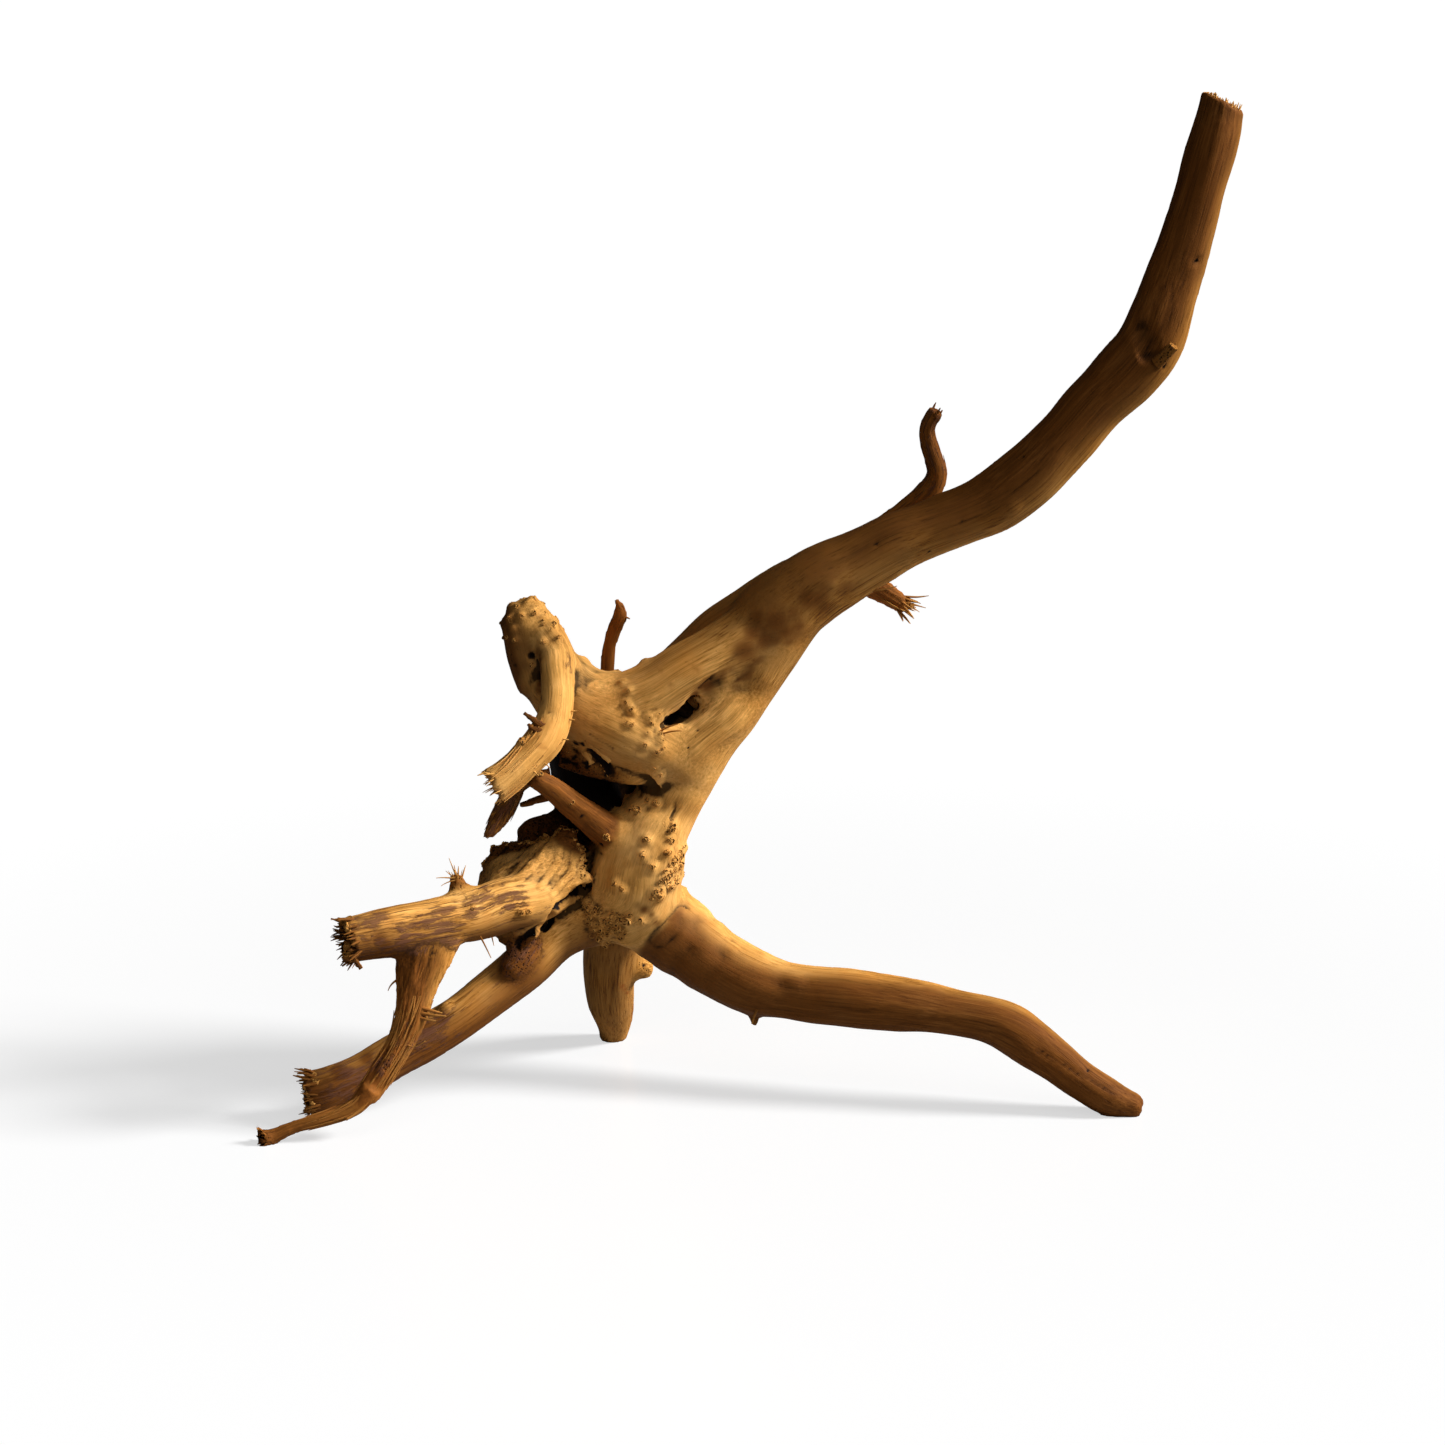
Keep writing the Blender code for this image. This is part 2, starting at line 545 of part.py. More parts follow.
def raise_relief(shape):
    """Raises flutes, wrinkles and knots from the skin and tears the broken tips."""
    grain = Grain(shape.points)
    normals = shape.normals()
    height = flutes(grain) + wrinkles(shape.points, grain)
    full = np.clip(grain.radius / SWELL_FULL, 0, 1)
    height += smooth_noise(shape.points / SWELL_SIZE, 2) * SWELL_HEIGHT * full
    shape.points += height[:, None] * normals + tear_tips(shape.points, grain)
    tree = BVHTree.FromPolygons(shape.points.tolist(), shape.triangles.tolist())
    normals = shape.normals()
    for centre, radius, lift in KNOTS:
        spot, normal, _, _ = tree.find_nearest(Vector(centre))
        shape.points += dome(shape.points, normals, spot, normal, radius, lift)


def largest_piece_only(bm):
    """Drops loose scraps, so that one closed body is left."""
    left = set(bm.verts)
    pieces = []
    while left:
        piece, edge_of = set(), [next(iter(left))]
        while edge_of:
            vert = edge_of.pop()
            if vert in piece:
                continue
            piece.add(vert)
            edge_of.extend(e.other_vert(vert) for e in vert.link_edges)
        left -= piece
        pieces.append(piece)
    keep = max(pieces, key=len)
    bmesh.ops.delete(bm, geom=[v for v in bm.verts if v not in keep], context="VERTS")


def thin_out(root):
    """Leaves broad faces on the smooth limbs and small ones where the skin turns sharply."""
    fewer = root.modifiers.new("fewer", "DECIMATE")
    fewer.ratio = TRIANGLES / sum(len(p.vertices) - 2 for p in root.data.polygons)
    apply_modifiers(root)


def wart(place, normal, radius, height):
    """One wart as an object: a few-sided cone with a turned-in flank, its root sunk in the skin."""
    place, normal = Vector(place), Vector(normal).normalized()
    aside = normal.orthogonal().normalized()
    ahead = normal.cross(aside)
    bm = bmesh.new()
    rings = []
    for share, lift in ((1.0, -WART_ROOT), (WART_SHOULDER[0], height * WART_SHOULDER[1])):
        turns = (2 * math.pi * k / WART_SIDES for k in range(WART_SIDES))
        rings.append([place + normal * lift + (aside * math.cos(t) + ahead * math.sin(t)) * radius * share
                      for t in turns])
    skin(bm, rings)
    top = next(f for f in bm.faces if len(f.verts) > 4 and (f.calc_center_median() - place).dot(normal) > 0)
    peak = bmesh.ops.poke(bm, faces=[top])["verts"][0]
    peak.co = place + normal * height
    bmesh.ops.recalc_face_normals(bm, faces=bm.faces)
    mesh = bpy.data.meshes.new("wart")
    bm.to_mesh(mesh)
    bm.free()
    return bpy.data.objects.new("wart", mesh)


def graft_warts(root, spots):
    """Fuses the warts to the root in one union."""
    warts = bpy.data.collections.new("warts")
    bpy.context.scene.collection.children.link(warts)
    for spot in spots:
        warts.objects.link(wart(*spot))
    union = root.modifiers.new("graft", "BOOLEAN")
    union.operation = "UNION"
    union.operand_type = "COLLECTION"
    union.collection = warts
    apply_modifiers(root)
    for grown in list(warts.objects):
        bpy.data.objects.remove(grown)
    bpy.data.collections.remove(warts)


def clean(root):
    """Keeps the one closed body and welds points that all but touch."""
    bm = bmesh.new()
    bm.from_mesh(root.data)
    bmesh.ops.remove_doubles(bm, verts=bm.verts, dist=WELD)
    largest_piece_only(bm)
    bmesh.ops.triangulate(bm, faces=bm.faces)
    bm.to_mesh(root.data)
    bm.free()


def finish_mesh(root):
    """Pressed flat where it stands, and in metres."""
    bm = bmesh.new()
    bm.from_mesh(root.data)
    for vert in bm.verts:
        if vert.co.z < FOOT_PRESS:
            vert.co.z = 0
    bmesh.ops.recalc_face_normals(bm, faces=bm.faces)
    bmesh.ops.scale(bm, vec=(MM, MM, MM), verts=bm.verts)
    bm.to_mesh(root.data)
    bm.free()
    root.data.shade_smooth()


def wood():
    """Bleached root wood."""
    material = bpy.data.materials.new("bleached_wood")
    material.use_nodes = True
    shader = material.node_tree.nodes["Principled BSDF"]
    shader.inputs["Base Color"].default_value = (0.46, 0.27, 0.11, 1)
    shader.inputs["Roughness"].default_value = 0.72
    shader.inputs["Metallic"].default_value = 0
    return material


def main():
    """Builds the root."""
    for old in list(bpy.data.objects):
        bpy.data.objects.remove(old)
    root = raw_root()
    fuse(root)
    shape = Skin(root.data)
    shape.relax(RELAX_TURNS)
    shape.fill_crotches(CROTCH_TURNS, keep_gaps_open(shape.points))
    raise_relief(shape)
    shape.write()
    spots = wart_spots(shape)
    thin_out(root)
    clean(root)
    graft_warts(root, spots)
    clean(root)
    finish_mesh(root)
    root.data.materials.clear()
    root.data.materials.append(wood())


main()
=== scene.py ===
"""The looks of the dry root: its skin, warts, torn ends and loose fibres, its wood and the studio.

The skin is grown again from the middle lines of the limbs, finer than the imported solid, and stands for it.
Tables of the wood are in millimetres. Marks that the photograph shows are placed by its pixels, and are set
on the skin along the line of sight. Finished meshes are in metres.
"""

import logging
import math
from dataclasses import dataclass, field, replace
from enum import Enum

import bmesh
import bpy
import numpy as np
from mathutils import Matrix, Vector
from mathutils.bvhtree import BVHTree
from mathutils.kdtree import KDTree


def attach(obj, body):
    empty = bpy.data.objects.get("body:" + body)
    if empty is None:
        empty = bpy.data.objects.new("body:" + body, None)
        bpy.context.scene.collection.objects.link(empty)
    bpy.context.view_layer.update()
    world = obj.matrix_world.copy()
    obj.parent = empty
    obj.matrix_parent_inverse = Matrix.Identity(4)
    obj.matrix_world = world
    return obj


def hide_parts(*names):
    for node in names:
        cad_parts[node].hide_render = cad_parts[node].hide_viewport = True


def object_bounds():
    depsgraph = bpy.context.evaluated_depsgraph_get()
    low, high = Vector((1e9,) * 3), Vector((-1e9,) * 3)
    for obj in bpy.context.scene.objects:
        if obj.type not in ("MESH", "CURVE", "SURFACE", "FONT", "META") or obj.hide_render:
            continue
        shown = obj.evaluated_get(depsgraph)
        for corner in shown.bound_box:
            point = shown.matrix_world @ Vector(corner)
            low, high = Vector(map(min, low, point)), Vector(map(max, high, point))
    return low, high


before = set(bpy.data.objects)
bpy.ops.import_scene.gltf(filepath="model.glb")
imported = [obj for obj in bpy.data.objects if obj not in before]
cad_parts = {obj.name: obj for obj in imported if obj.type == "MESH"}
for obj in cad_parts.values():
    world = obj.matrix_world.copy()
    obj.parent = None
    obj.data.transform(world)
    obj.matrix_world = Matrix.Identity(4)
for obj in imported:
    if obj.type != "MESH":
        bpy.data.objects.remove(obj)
cad_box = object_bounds()

log = logging.getLogger("dry_root")

MM = 0.001

Station = tuple[float, float, float, float]
Pixel = tuple[float, float]


@dataclass(frozen=True)
class Limb:
    """One limb: stations of x, y, z and radius from its buried end to its tip."""

    name: str
    stations: tuple[Station, ...]
    thickness: float = 1.0  # front to back, as a share of the width
    round_tip: bool = False
    ragged: float = 0.0  # how far the fibres stand out of a broken tip
    slant: float = 0.0  # how steeply a sawn tip falls to its right

    def fall(self, across: np.ndarray | float) -> np.ndarray | float:
        """How far a sawn tip lies below its highest point, at this distance across the limb."""
        return self.slant * (self.stations[-1][3] - across)

    def run(self, step: float = 2.5) -> tuple[np.ndarray, np.ndarray, np.ndarray]:
        """The middle line as an even run.

        Args:
            step: Distance between neighbouring points.

        Returns:
            Points, radii and unit directions.
        """
        table = np.array(self.stations, float)
        before = np.vstack([2 * table[0] - table[1], table, 2 * table[-1] - table[-2]])
        rows = []
        for k in range(1, len(before) - 2):
            a, b, c, d = before[k - 1 : k + 3]
            steps = max(2, round(float(np.linalg.norm(c[:3] - b[:3])) / step))
            for t in np.linspace(0, 1, steps, endpoint=False):
                rows.append(0.5 * (2 * b + (c - a) * t + (2 * a - 5 * b + 4 * c - d) * t**2
                                   + (3 * b - a - 3 * c + d) * t**3))
        rows.append(table[-1])
        line = np.array(rows)
        ways = np.gradient(line[:, :3], axis=0)
        ways /= np.linalg.norm(ways, axis=1)[:, None]
        return line[:, :3], line[:, 3], ways


LIMBS = (
    Limb("leader", (
        (6.5, 13, 182, 15), (12, 11, 191.5, 16), (28.5, 10, 204.5, 15), (43, 9, 213, 13.5),
        (57.5, 9, 221.5, 12.4), (72, 8, 227.2, 11.6), (93.5, 7, 236, 12), (110.8, 6, 248.3, 12.7),
        (124.8, 5, 264.2, 11.7), (136, 4, 277.8, 11.5), (149, 3, 290.7, 13), (156.8, 2, 302.5, 12.7),
        (163, 1, 322, 11.1), (170, 0, 348, 10.1), (177, -1, 375.5, 9.5), (181, -1, 395, 8.4)),
        ragged=0.6, slant=0.3),
    Limb("right_arm", (
        (27, 11, 203.5, 13), (12.5, 13, 188, 16), (1.5, 13, 169, 14.5), (-8, 12, 152.5, 13),
        (-19, 11, 137, 13.5), (-28.5, 11, 120.5, 13.8), (-35.5, 13, 104, 13.2))),
    Limb("left_arm", (
        (26, 10, 202, 12), (12, 11, 189.5, 15), (-3.5, 7, 181, 12.5), (-19.5, 3, 173, 11.3),
        (-35, 1, 163.5, 12), (-47, 2, 158, 13))),
    Limb("cheek", (
        (-38, 5, 134, 13), (-25.5, 5, 141, 12), (-16.5, 6, 148, 12), (-8, 8, 154.5, 12), (0, 11, 163, 12))),
    Limb("saddle", (
        (-77.5, 9, 170, 13), (-65, 6, 158, 16), (-51, 4, 151.5, 17.5), (-38, 4, 144.5, 16),
        (-27.5, 7, 136.5, 13.5), (-19.5, 11, 127.5, 12))),
    Limb("knob", (
        (-77, 11, 165.5, 13), (-80.5, 11, 174.5, 13), (-83, 11, 181, 12.5), (-85, 11, 187, 11.2)),
        round_tip=True),
    Limb("hook", (
        (-79, 6, 186, 8), (-74, 0, 179.5, 7.4), (-72.8, -9, 173.5, 6.8), (-72.4, -16, 168, 6.6),
        (-72.7, -21, 163.5, 6.8), (-74.2, -26, 157.5, 7.1), (-78, -31, 151, 7.1), (-85, -36, 144.5, 6.8),
        (-91.5, -39.5, 139.3, 7), (-96.5, -41.5, 136.3, 7.2)),
        ragged=2.0),
    Limb("strut", (
        (-48, 5, 101, 8.5), (-53.5, 2, 106, 7), (-61, -3, 113.5, 6), (-68.5, -9, 121, 5),
        (-76, -15, 129, 4.5), (-83, -19, 134, 3.5))),
    Limb("lower_burl", (
        (-28.5, 11, 117, 12), (-37, 9, 106, 15.5), (-42, 7, 92.5, 18), (-45.5, 7, 79, 18),
        (-49, 11, 65, 13.5))),
    Limb("left_root", (
        (-48, 11, 73.5, 14.5), (-62, 9, 69.5, 13.2), (-75, 3, 63, 10.9), (-87, -6, 53.2, 9.6),
        (-101.5, -13, 42.7, 8.6), (-115, -19.5, 34.2, 8.6), (-132, -26, 25.8, 8.8),
        (-147.5, -32, 17.5, 8.5), (-162, -37, 12, 9), (-170.5, -39, 10.5, 9)),
        ragged=2.5),
    Limb("broken_root", (
        (-61, 13, 87, 8), (-73.5, 3, 83.5, 9), (-83.5, -8, 82.5, 10.5), (-94, -18, 82.5, 11),
        (-105.5, -27, 80.5, 10.5), (-118.5, -35, 80, 9.6), (-133.5, -42, 79, 9.5),
        (-146.5, -48, 78, 8.5), (-153, -51, 77.5, 8)),
        ragged=3.0),
    Limb("strap", (
        (-121, -38, 77, 12), (-125, -42, 66, 9.6), (-127.3, -46, 55.5, 7.2), (-129, -50, 47, 6),
        (-133, -53, 36.5, 5), (-140, -56, 25.5, 5), (-146.5, -59, 16, 4.5)),
        thickness=0.6),
    Limb("thin_tip", (
        (-144, -58, 20, 4.5), (-151.5, -60, 12.5, 3.5), (-162, -62, 9, 3), (-173.5, -63, 6, 2.5),
        (-182, -64.5, 2.5, 3), (-187, -66.5, 2, 3.8)),
        ragged=1.0),
    Limb("right_root", (
        (-38, 15, 68.5, 16), (-24.5, 10, 59.2, 14.7), (-10.5, 6, 50.3, 13.4), (4.5, 1, 44, 13.2),
        (20.5, -3, 41.2, 11.5), (42, -9, 40.8, 11.3), (62, -14, 39.8, 10.8), (80, -18, 38, 9.5),
        (95, -21, 36, 9.5), (105, -23, 33, 10), (114.5, -25, 27, 9.5), (123.5, -27, 21, 8.5),
        (133, -29, 13.5, 7.5), (144, -31, 7, 7.5), (152.5, -32, 4, 5.5)),
        round_tip=True, ragged=1.0),
    Limb("back_limb", (
        (46, 13, 213.5, 11), (22.5, 24, 199.5, 13.5), (4.5, 32, 187, 13.5), (-12.5, 38, 173.5, 13.5),
        (-28, 42, 155, 14.5), (-38, 42, 130, 15.5), (-44.5, 39, 101.5, 16.5), (-50.5, 37, 68, 15),
        (-54, 43, 46, 12), (-55, 47, 36, 11.4), (-55.2, 50.5, 29, 11), (-55, 55.5, 19.4, 10),
        (-54.5, 59, 11.7, 8.3), (-54.5, 62, 4.9, 6.5), (-55.2, 64, -1, 5.2))),
    Limb("stub_bump", (
        (-52, 46, 38, 7), (-41.5, 45, 36.6, 4.6)),
        round_tip=True),
    Limb("splinter", (
        (-44, 36, 146, 4.5), (-51, 37, 152, 3.4), (-54.5, 36, 157.5, 3), (-54.8, 35, 164.5, 3),
        (-54.4, 34, 171.5, 2.7),
        (-53.3, 33, 178, 2.7), (-51.4, 32, 183.5, 2.9), (-49.6, 31, 188, 2.8), (-49.7, 30.5, 191.5, 1.9),
        (-50.9, 30, 195, 0.9)),
        thickness=0.7),
    Limb("curl", (
        (42, 25, 213, 4), (54, 30, 223.5, 4), (65, 31, 232, 4), (72.5, 29, 238, 4.8),
        (76.5, 27, 246, 4), (73.5, 25, 257, 3.5), (72, 24, 265, 3), (75.5, 22, 272, 3))),
    Limb("torn_stub", (
        (42, 25, 207, 5.5), (51, 27, 201.5, 5), (59, 27, 196.5, 4), (64.5, 26, 193, 3)),
        thickness=0.6, ragged=2.0),
    Limb("back_web", (
        (-70, 13, 160, 12), (-69, 20, 144, 11), (-66, 24, 126, 11.5), (-62, 25, 108, 13))),
    Limb("heel", (
        (-50, 18, 82, 12), (-66, 18, 82, 9), (-80, 14, 80, 7)),
        round_tip=True),
    Limb("back_burl", (
        (-62, 23, 93, 12), (-74, 21, 99, 10.5), (-84, 19, 100, 7)),
        round_tip=True, ragged=1.5),
    Limb("dark_strip", (
        (-76, -9, 133, 2.4), (-82, -9, 132, 2.6), (-88.1, -10, 129.2, 3.2), (-90.6, -11.5, 126.5, 3.9),
        (-92.9, -13, 122, 4.1), (-95.6, -14.5, 117.2, 3.8), (-98.7, -16, 112.3, 2.6),
        (-101.3, -17, 109, 1.3)),
        thickness=0.6),
    Limb("under_lip", (
        (-72, 2, 138, 5), (-63, 0, 135.5, 5.2), (-55.7, -1, 134, 5.2), (-47, 0, 131.8, 5.2),
        (-38, 3, 129.8, 5))),
    Limb("frayed_knot", (
        (-84, -6, 62, 6), (-88.5, -12, 57.5, 6), (-92, -15, 54.5, 5)),
        round_tip=True, ragged=1.5),
    Limb("dark_twig", (
        (-68, 1, 122.5, 2.4), (-75, -1, 122.5, 2), (-82.5, -3, 120.5, 1.6), (-88.5, -5, 119, 1.2))),
    Limb("peg", (
        (2, 2, 36, 2.2), (4, 1, 29, 1.6), (5, 1, 26.5, 1.2))),
    Limb("side_knob", (
        (-109.5, -27, 84, 4.5), (-110.5, -25, 88, 4), (-112, -25, 92, 3), (-112.5, -25, 96, 2.2)),
        ragged=1.0),
)
BY_NAME = {limb.name: limb for limb in LIMBS}

# The strap's own skin begins below the broken root, in which its first station lies
SKIN_LIMBS = tuple(
    replace(limb, stations=limb.stations[1:]) if limb.name == "strap" else limb for limb in LIMBS)

# Fibres run on from the leader through its right arm and the lower burl into the left root, and over the knob
# into the saddle. The other limbs have fibres of their own.
IN_RUNS = ("leader", "right_arm", "lower_burl", "left_root", "knob", "saddle")
GRAIN_RUNS = (
    Limb("trunk", BY_NAME["leader"].stations[:1:-1] + BY_NAME["right_arm"].stations[1:6]
         + BY_NAME["lower_burl"].stations[1:4] + BY_NAME["left_root"].stations[1:]),
    Limb("brow", BY_NAME["knob"].stations[::-1] + BY_NAME["saddle"].stations[1:]),
    *(limb for limb in SKIN_LIMBS if limb.name not in IN_RUNS),
)

# The torn collar where the broken root once joined the trunk: its scalloped lip, seen from the front,
# from the dark lobe at the left over the top and down the right side to the bottom
COLLAR_LIP = (
    (-105, 13, 89.5), (-100.5, 13, 97.8), (-93, 10, 100.3), (-85.5, 6, 100), (-80, 3, 104), (-75.5, 1, 103),
    (-72.5, 1, 108), (-68, 0, 107), (-64.5, -2, 100), (-64.5, -5, 92.5), (-61, -6, 88.5), (-67.5, -9, 87),
    (-74.5, -13, 80.5), (-80, -16, 74.5), (-82, -17, 68), (-88, -16, 63.5), (-95.5, -12, 63.5),
    (-102, -5, 68), (-105.8, 4, 74.5), (-107.2, 10, 82),
)
COLLAR_CRUMBLY = 11  # so many of the lip's points, from the first, are crumbly
COLLAR_THROAT = Vector((-98, -21, 82.5))
COLLAR_HUB = Vector((-84, -5, 84))

# Places that stay open between limbs that meet: centre and reach
OPEN_GAPS = (
    ((-53, -3, 125), 12), ((-38, 0, 124), 9), ((-66, 4, 124), 11),
    ((-24, -2, 157), 4.5),
    ((-84, -8, 84), 22), ((-66, -2, 92), 12),
    ((-72, -12, 136), 9), ((-84, -2, 172), 6),
    ((-138, -44, 48), 12),
)


def smooth_noise(points: np.ndarray, seed: int) -> np.ndarray:
    """Smooth noise with lumps one unit apart.

    Args:
        points: Rows of x, y and z.
        seed: Which noise.

    Returns:
        A value from -1 to 1 for each row.
    """
    cell = np.floor(points).astype(np.int64)
    part = points - cell
    part = part * part * (3 - 2 * part)
    total = np.zeros(len(points))
    for corner in np.ndindex(2, 2, 2):
        at = cell + corner
        mixed = (at[:, 0] * 73856093) ^ (at[:, 1] * 19349663) ^ (at[:, 2] * 83492791) ^ (seed * 961748941)
        mixed &= 0xFFFFFFFF
        mixed = ((mixed ^ (mixed >> 13)) * 1274126177) & 0xFFFFFFFF
        value = ((mixed ^ (mixed >> 16)) & 0xFFFFFF) / 0x7FFFFF - 1
        total += value * np.prod(np.where(corner, part, 1 - part), axis=1)
    return total


def side_axes(ways: np.ndarray) -> tuple[np.ndarray, np.ndarray]:
    """For each direction, an axis across it and one that runs as nearly as it can front to back."""
    across = np.cross(ways, (0.0, 1.0, 0.0))
    across /= np.linalg.norm(across, axis=1)[:, None]
    return across, np.cross(across, ways)


def distance_to(points: np.ndarray, centre: Vector | tuple) -> np.ndarray:
    """Each point's distance from the centre."""
    return np.linalg.norm(points - np.array(centre, float), axis=1)


class Bench:
    """The modelling bench: one object at a time is picked up, worked on and finished."""

    @staticmethod
    def take(obj: bpy.types.Object) -> None:
        """Selects this object alone and makes it active."""
        bpy.ops.object.select_all(action="DESELECT")
        obj.select_set(True)
        bpy.context.view_layer.objects.active = obj

    @staticmethod
    def place(name: str, mesh: bpy.types.ID) -> bpy.types.Object:
        """Puts a new object with this mesh or curve into the scene."""
        obj = bpy.data.objects.new(name, mesh)
        bpy.context.scene.collection.objects.link(obj)
        return obj

    @staticmethod
    def finish(obj: bpy.types.Object, material: bpy.types.Material) -> None:
        """Gives a piece its material and says where it belongs."""
        obj.data.materials.clear()
        obj.data.materials.append(material)
        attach(obj, "root")
        log.info("%s: %d faces", obj.name, len(obj.data.polygons))


@dataclass(frozen=True)
class Sight:
    """The photograph's view: a camera that looks a little down on the crown."""

    side: float = 1445.0  # pixels
    lens: float = 85.0
    sensor: float = 36.0
    down: float = math.radians(13)
    target: tuple[float, float, float] = (-8.5, 19.0, 147.1)
    reach: float = 1365.0

    def ahead(self) -> Vector:
        """The direction in which the camera looks."""
        return Vector((0, math.cos(self.down), -math.sin(self.down)))

    def eye(self) -> Vector:
        """Where the camera stands."""
        return Vector(self.target) - self.ahead() * self.reach

    def line(self, pixel: Pixel) -> Vector:
        """The direction of the sight line through a pixel of the photograph."""
        focus = self.lens / self.sensor * self.side
        up = Vector((0, math.sin(self.down), math.cos(self.down)))
        right = Vector((1, 0, 0))
        middle = self.side / 2
        return self.ahead() + right * ((pixel[0] - middle) / focus) - up * ((pixel[1] - middle) / focus)

    def at(self, pixel: Pixel, depth: float) -> Vector:
        """The point on a pixel's sight line at this y."""
        line = self.line(pixel)
        return self.eye() + line * ((depth - self.eye().y) / line.y)

    def spot(self, tree: BVHTree, pixel: Pixel) -> tuple[Vector, Vector] | None:
        """The skin's point and normal behind a pixel, or None where the photograph shows the backdrop."""
        place, normal, _, _ = tree.ray_cast(self.eye(), self.line(pixel).normalized())
        return None if place is None else (place, normal)


SIGHT = Sight()


class Tone(Enum):
    """The masks that the wood's finish reads from the skin."""

    PALE = "pale"
    # STAIN_AND_SHADE: brown of stains, and brown painted shade on sides turned from the key light and in some
    # hollows
    STAIN_AND_SHADE = "stain_and_shade"
    BARK = "bark"
    TORN = "torn"
    # DARK: near-black painted shade in hollows, slits, cracks and pits; also the dark of broken ends
    DARK = "dark"
    CRUMB = "crumb"
    # HOLLOW, VALLEY: how deep a point lies in a small hollow and in a broad valley; the finish paints shade
    # there, and a highlight on ridges
    HOLLOW = "hollow"
    VALLEY = "valley"


class Skin:
    """A skin as arrays: points, edges and triangles, in millimetres."""

    def __init__(self, mesh: bpy.types.Mesh) -> None:
        """Reads the mesh."""
        self.mesh = mesh
        self.points = np.empty(len(mesh.vertices) * 3)
        mesh.vertices.foreach_get("co", self.points)
        self.points = self.points.reshape(-1, 3)
        edges = np.empty(len(mesh.edges) * 2, np.int64)
        mesh.edges.foreach_get("vertices", edges)
        self.edges = edges.reshape(-1, 2)
        mesh.calc_loop_triangles()
        triangles = np.empty(len(mesh.loop_triangles) * 3, np.int64)
        mesh.loop_triangles.foreach_get("vertices", triangles)
        self.triangles = triangles.reshape(-1, 3)
        self.valence = np.bincount(self.edges.ravel(), minlength=len(self.points)).astype(float)

    def write(self) -> None:
        """Puts the points back into the mesh."""
        self.mesh.vertices.foreach_set("co", self.points.ravel())
        self.mesh.update()

    def seat(self) -> None:
        """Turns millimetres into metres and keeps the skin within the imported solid's box."""
        self.points = np.clip(self.points * MM, np.array(cad_box[0]), np.array(cad_box[1]))
        self.write()

    def tree(self) -> BVHTree:
        """The skin as it is now, for sight lines."""
        return BVHTree.FromPolygons(self.points.tolist(), self.triangles.tolist())

    def normals(self) -> np.ndarray:
        """Unit normals at the points, by area."""
        a, b, c = (self.points[self.triangles[:, k]] for k in range(3))
        flat = np.cross(b - a, c - a)
        total = np.zeros_like(self.points)
        for axis in range(3):
            for corner in range(3):
                total[:, axis] += np.bincount(self.triangles[:, corner], flat[:, axis], len(self.points))
        return total / np.maximum(np.linalg.norm(total, axis=1), 1e-12)[:, None]

    def around(self, values: np.ndarray) -> np.ndarray:
        """The mean of each point's neighbours, for one value a point."""
        start, end = self.edges.T
        total = np.bincount(start, values[end], len(self.points))
        total += np.bincount(end, values[start], len(self.points))
        return total / self.valence

    def pull(self) -> np.ndarray:
        """From each point to the middle of its neighbours."""
        return np.column_stack([self.around(self.points[:, axis]) for axis in range(3)]) - self.points

    def relax(self, turns: int, inward: float = 0.5, outward: float = 0.52) -> None:
        """Takes the steps of the squares out without shrinking the limbs."""
        for _ in range(turns):
            self.points += inward * self.pull()
            self.points -= outward * self.pull()

    def soften(self, values: np.ndarray, turns: int) -> np.ndarray:
        """Values spread a little over the skin."""
        for _ in range(turns):
            values = 0.5 * (values + self.around(values))
        return values

    def fill_crotches(self, turns: int, open_share: np.ndarray, speed: float = 0.7) -> None:
        """Fills hollows between limbs with wood, and never takes any away."""
        for _ in range(turns):
            normals = self.normals()
            rise = np.einsum("ij,ij->i", self.pull(), normals)
            self.points += (np.maximum(rise, 0) * speed * open_share)[:, None] * normals

    def keep(self, name: str, values: np.ndarray) -> None:
        """Stores one number or one vector a point on the mesh, for the finish to read."""
        kind = "FLOAT" if values.ndim == 1 else "FLOAT_VECTOR"
        made = self.mesh.attributes.new(name, kind, "POINT")
        made.data.foreach_set("value" if values.ndim == 1 else "vector", values.astype(np.float32).ravel())


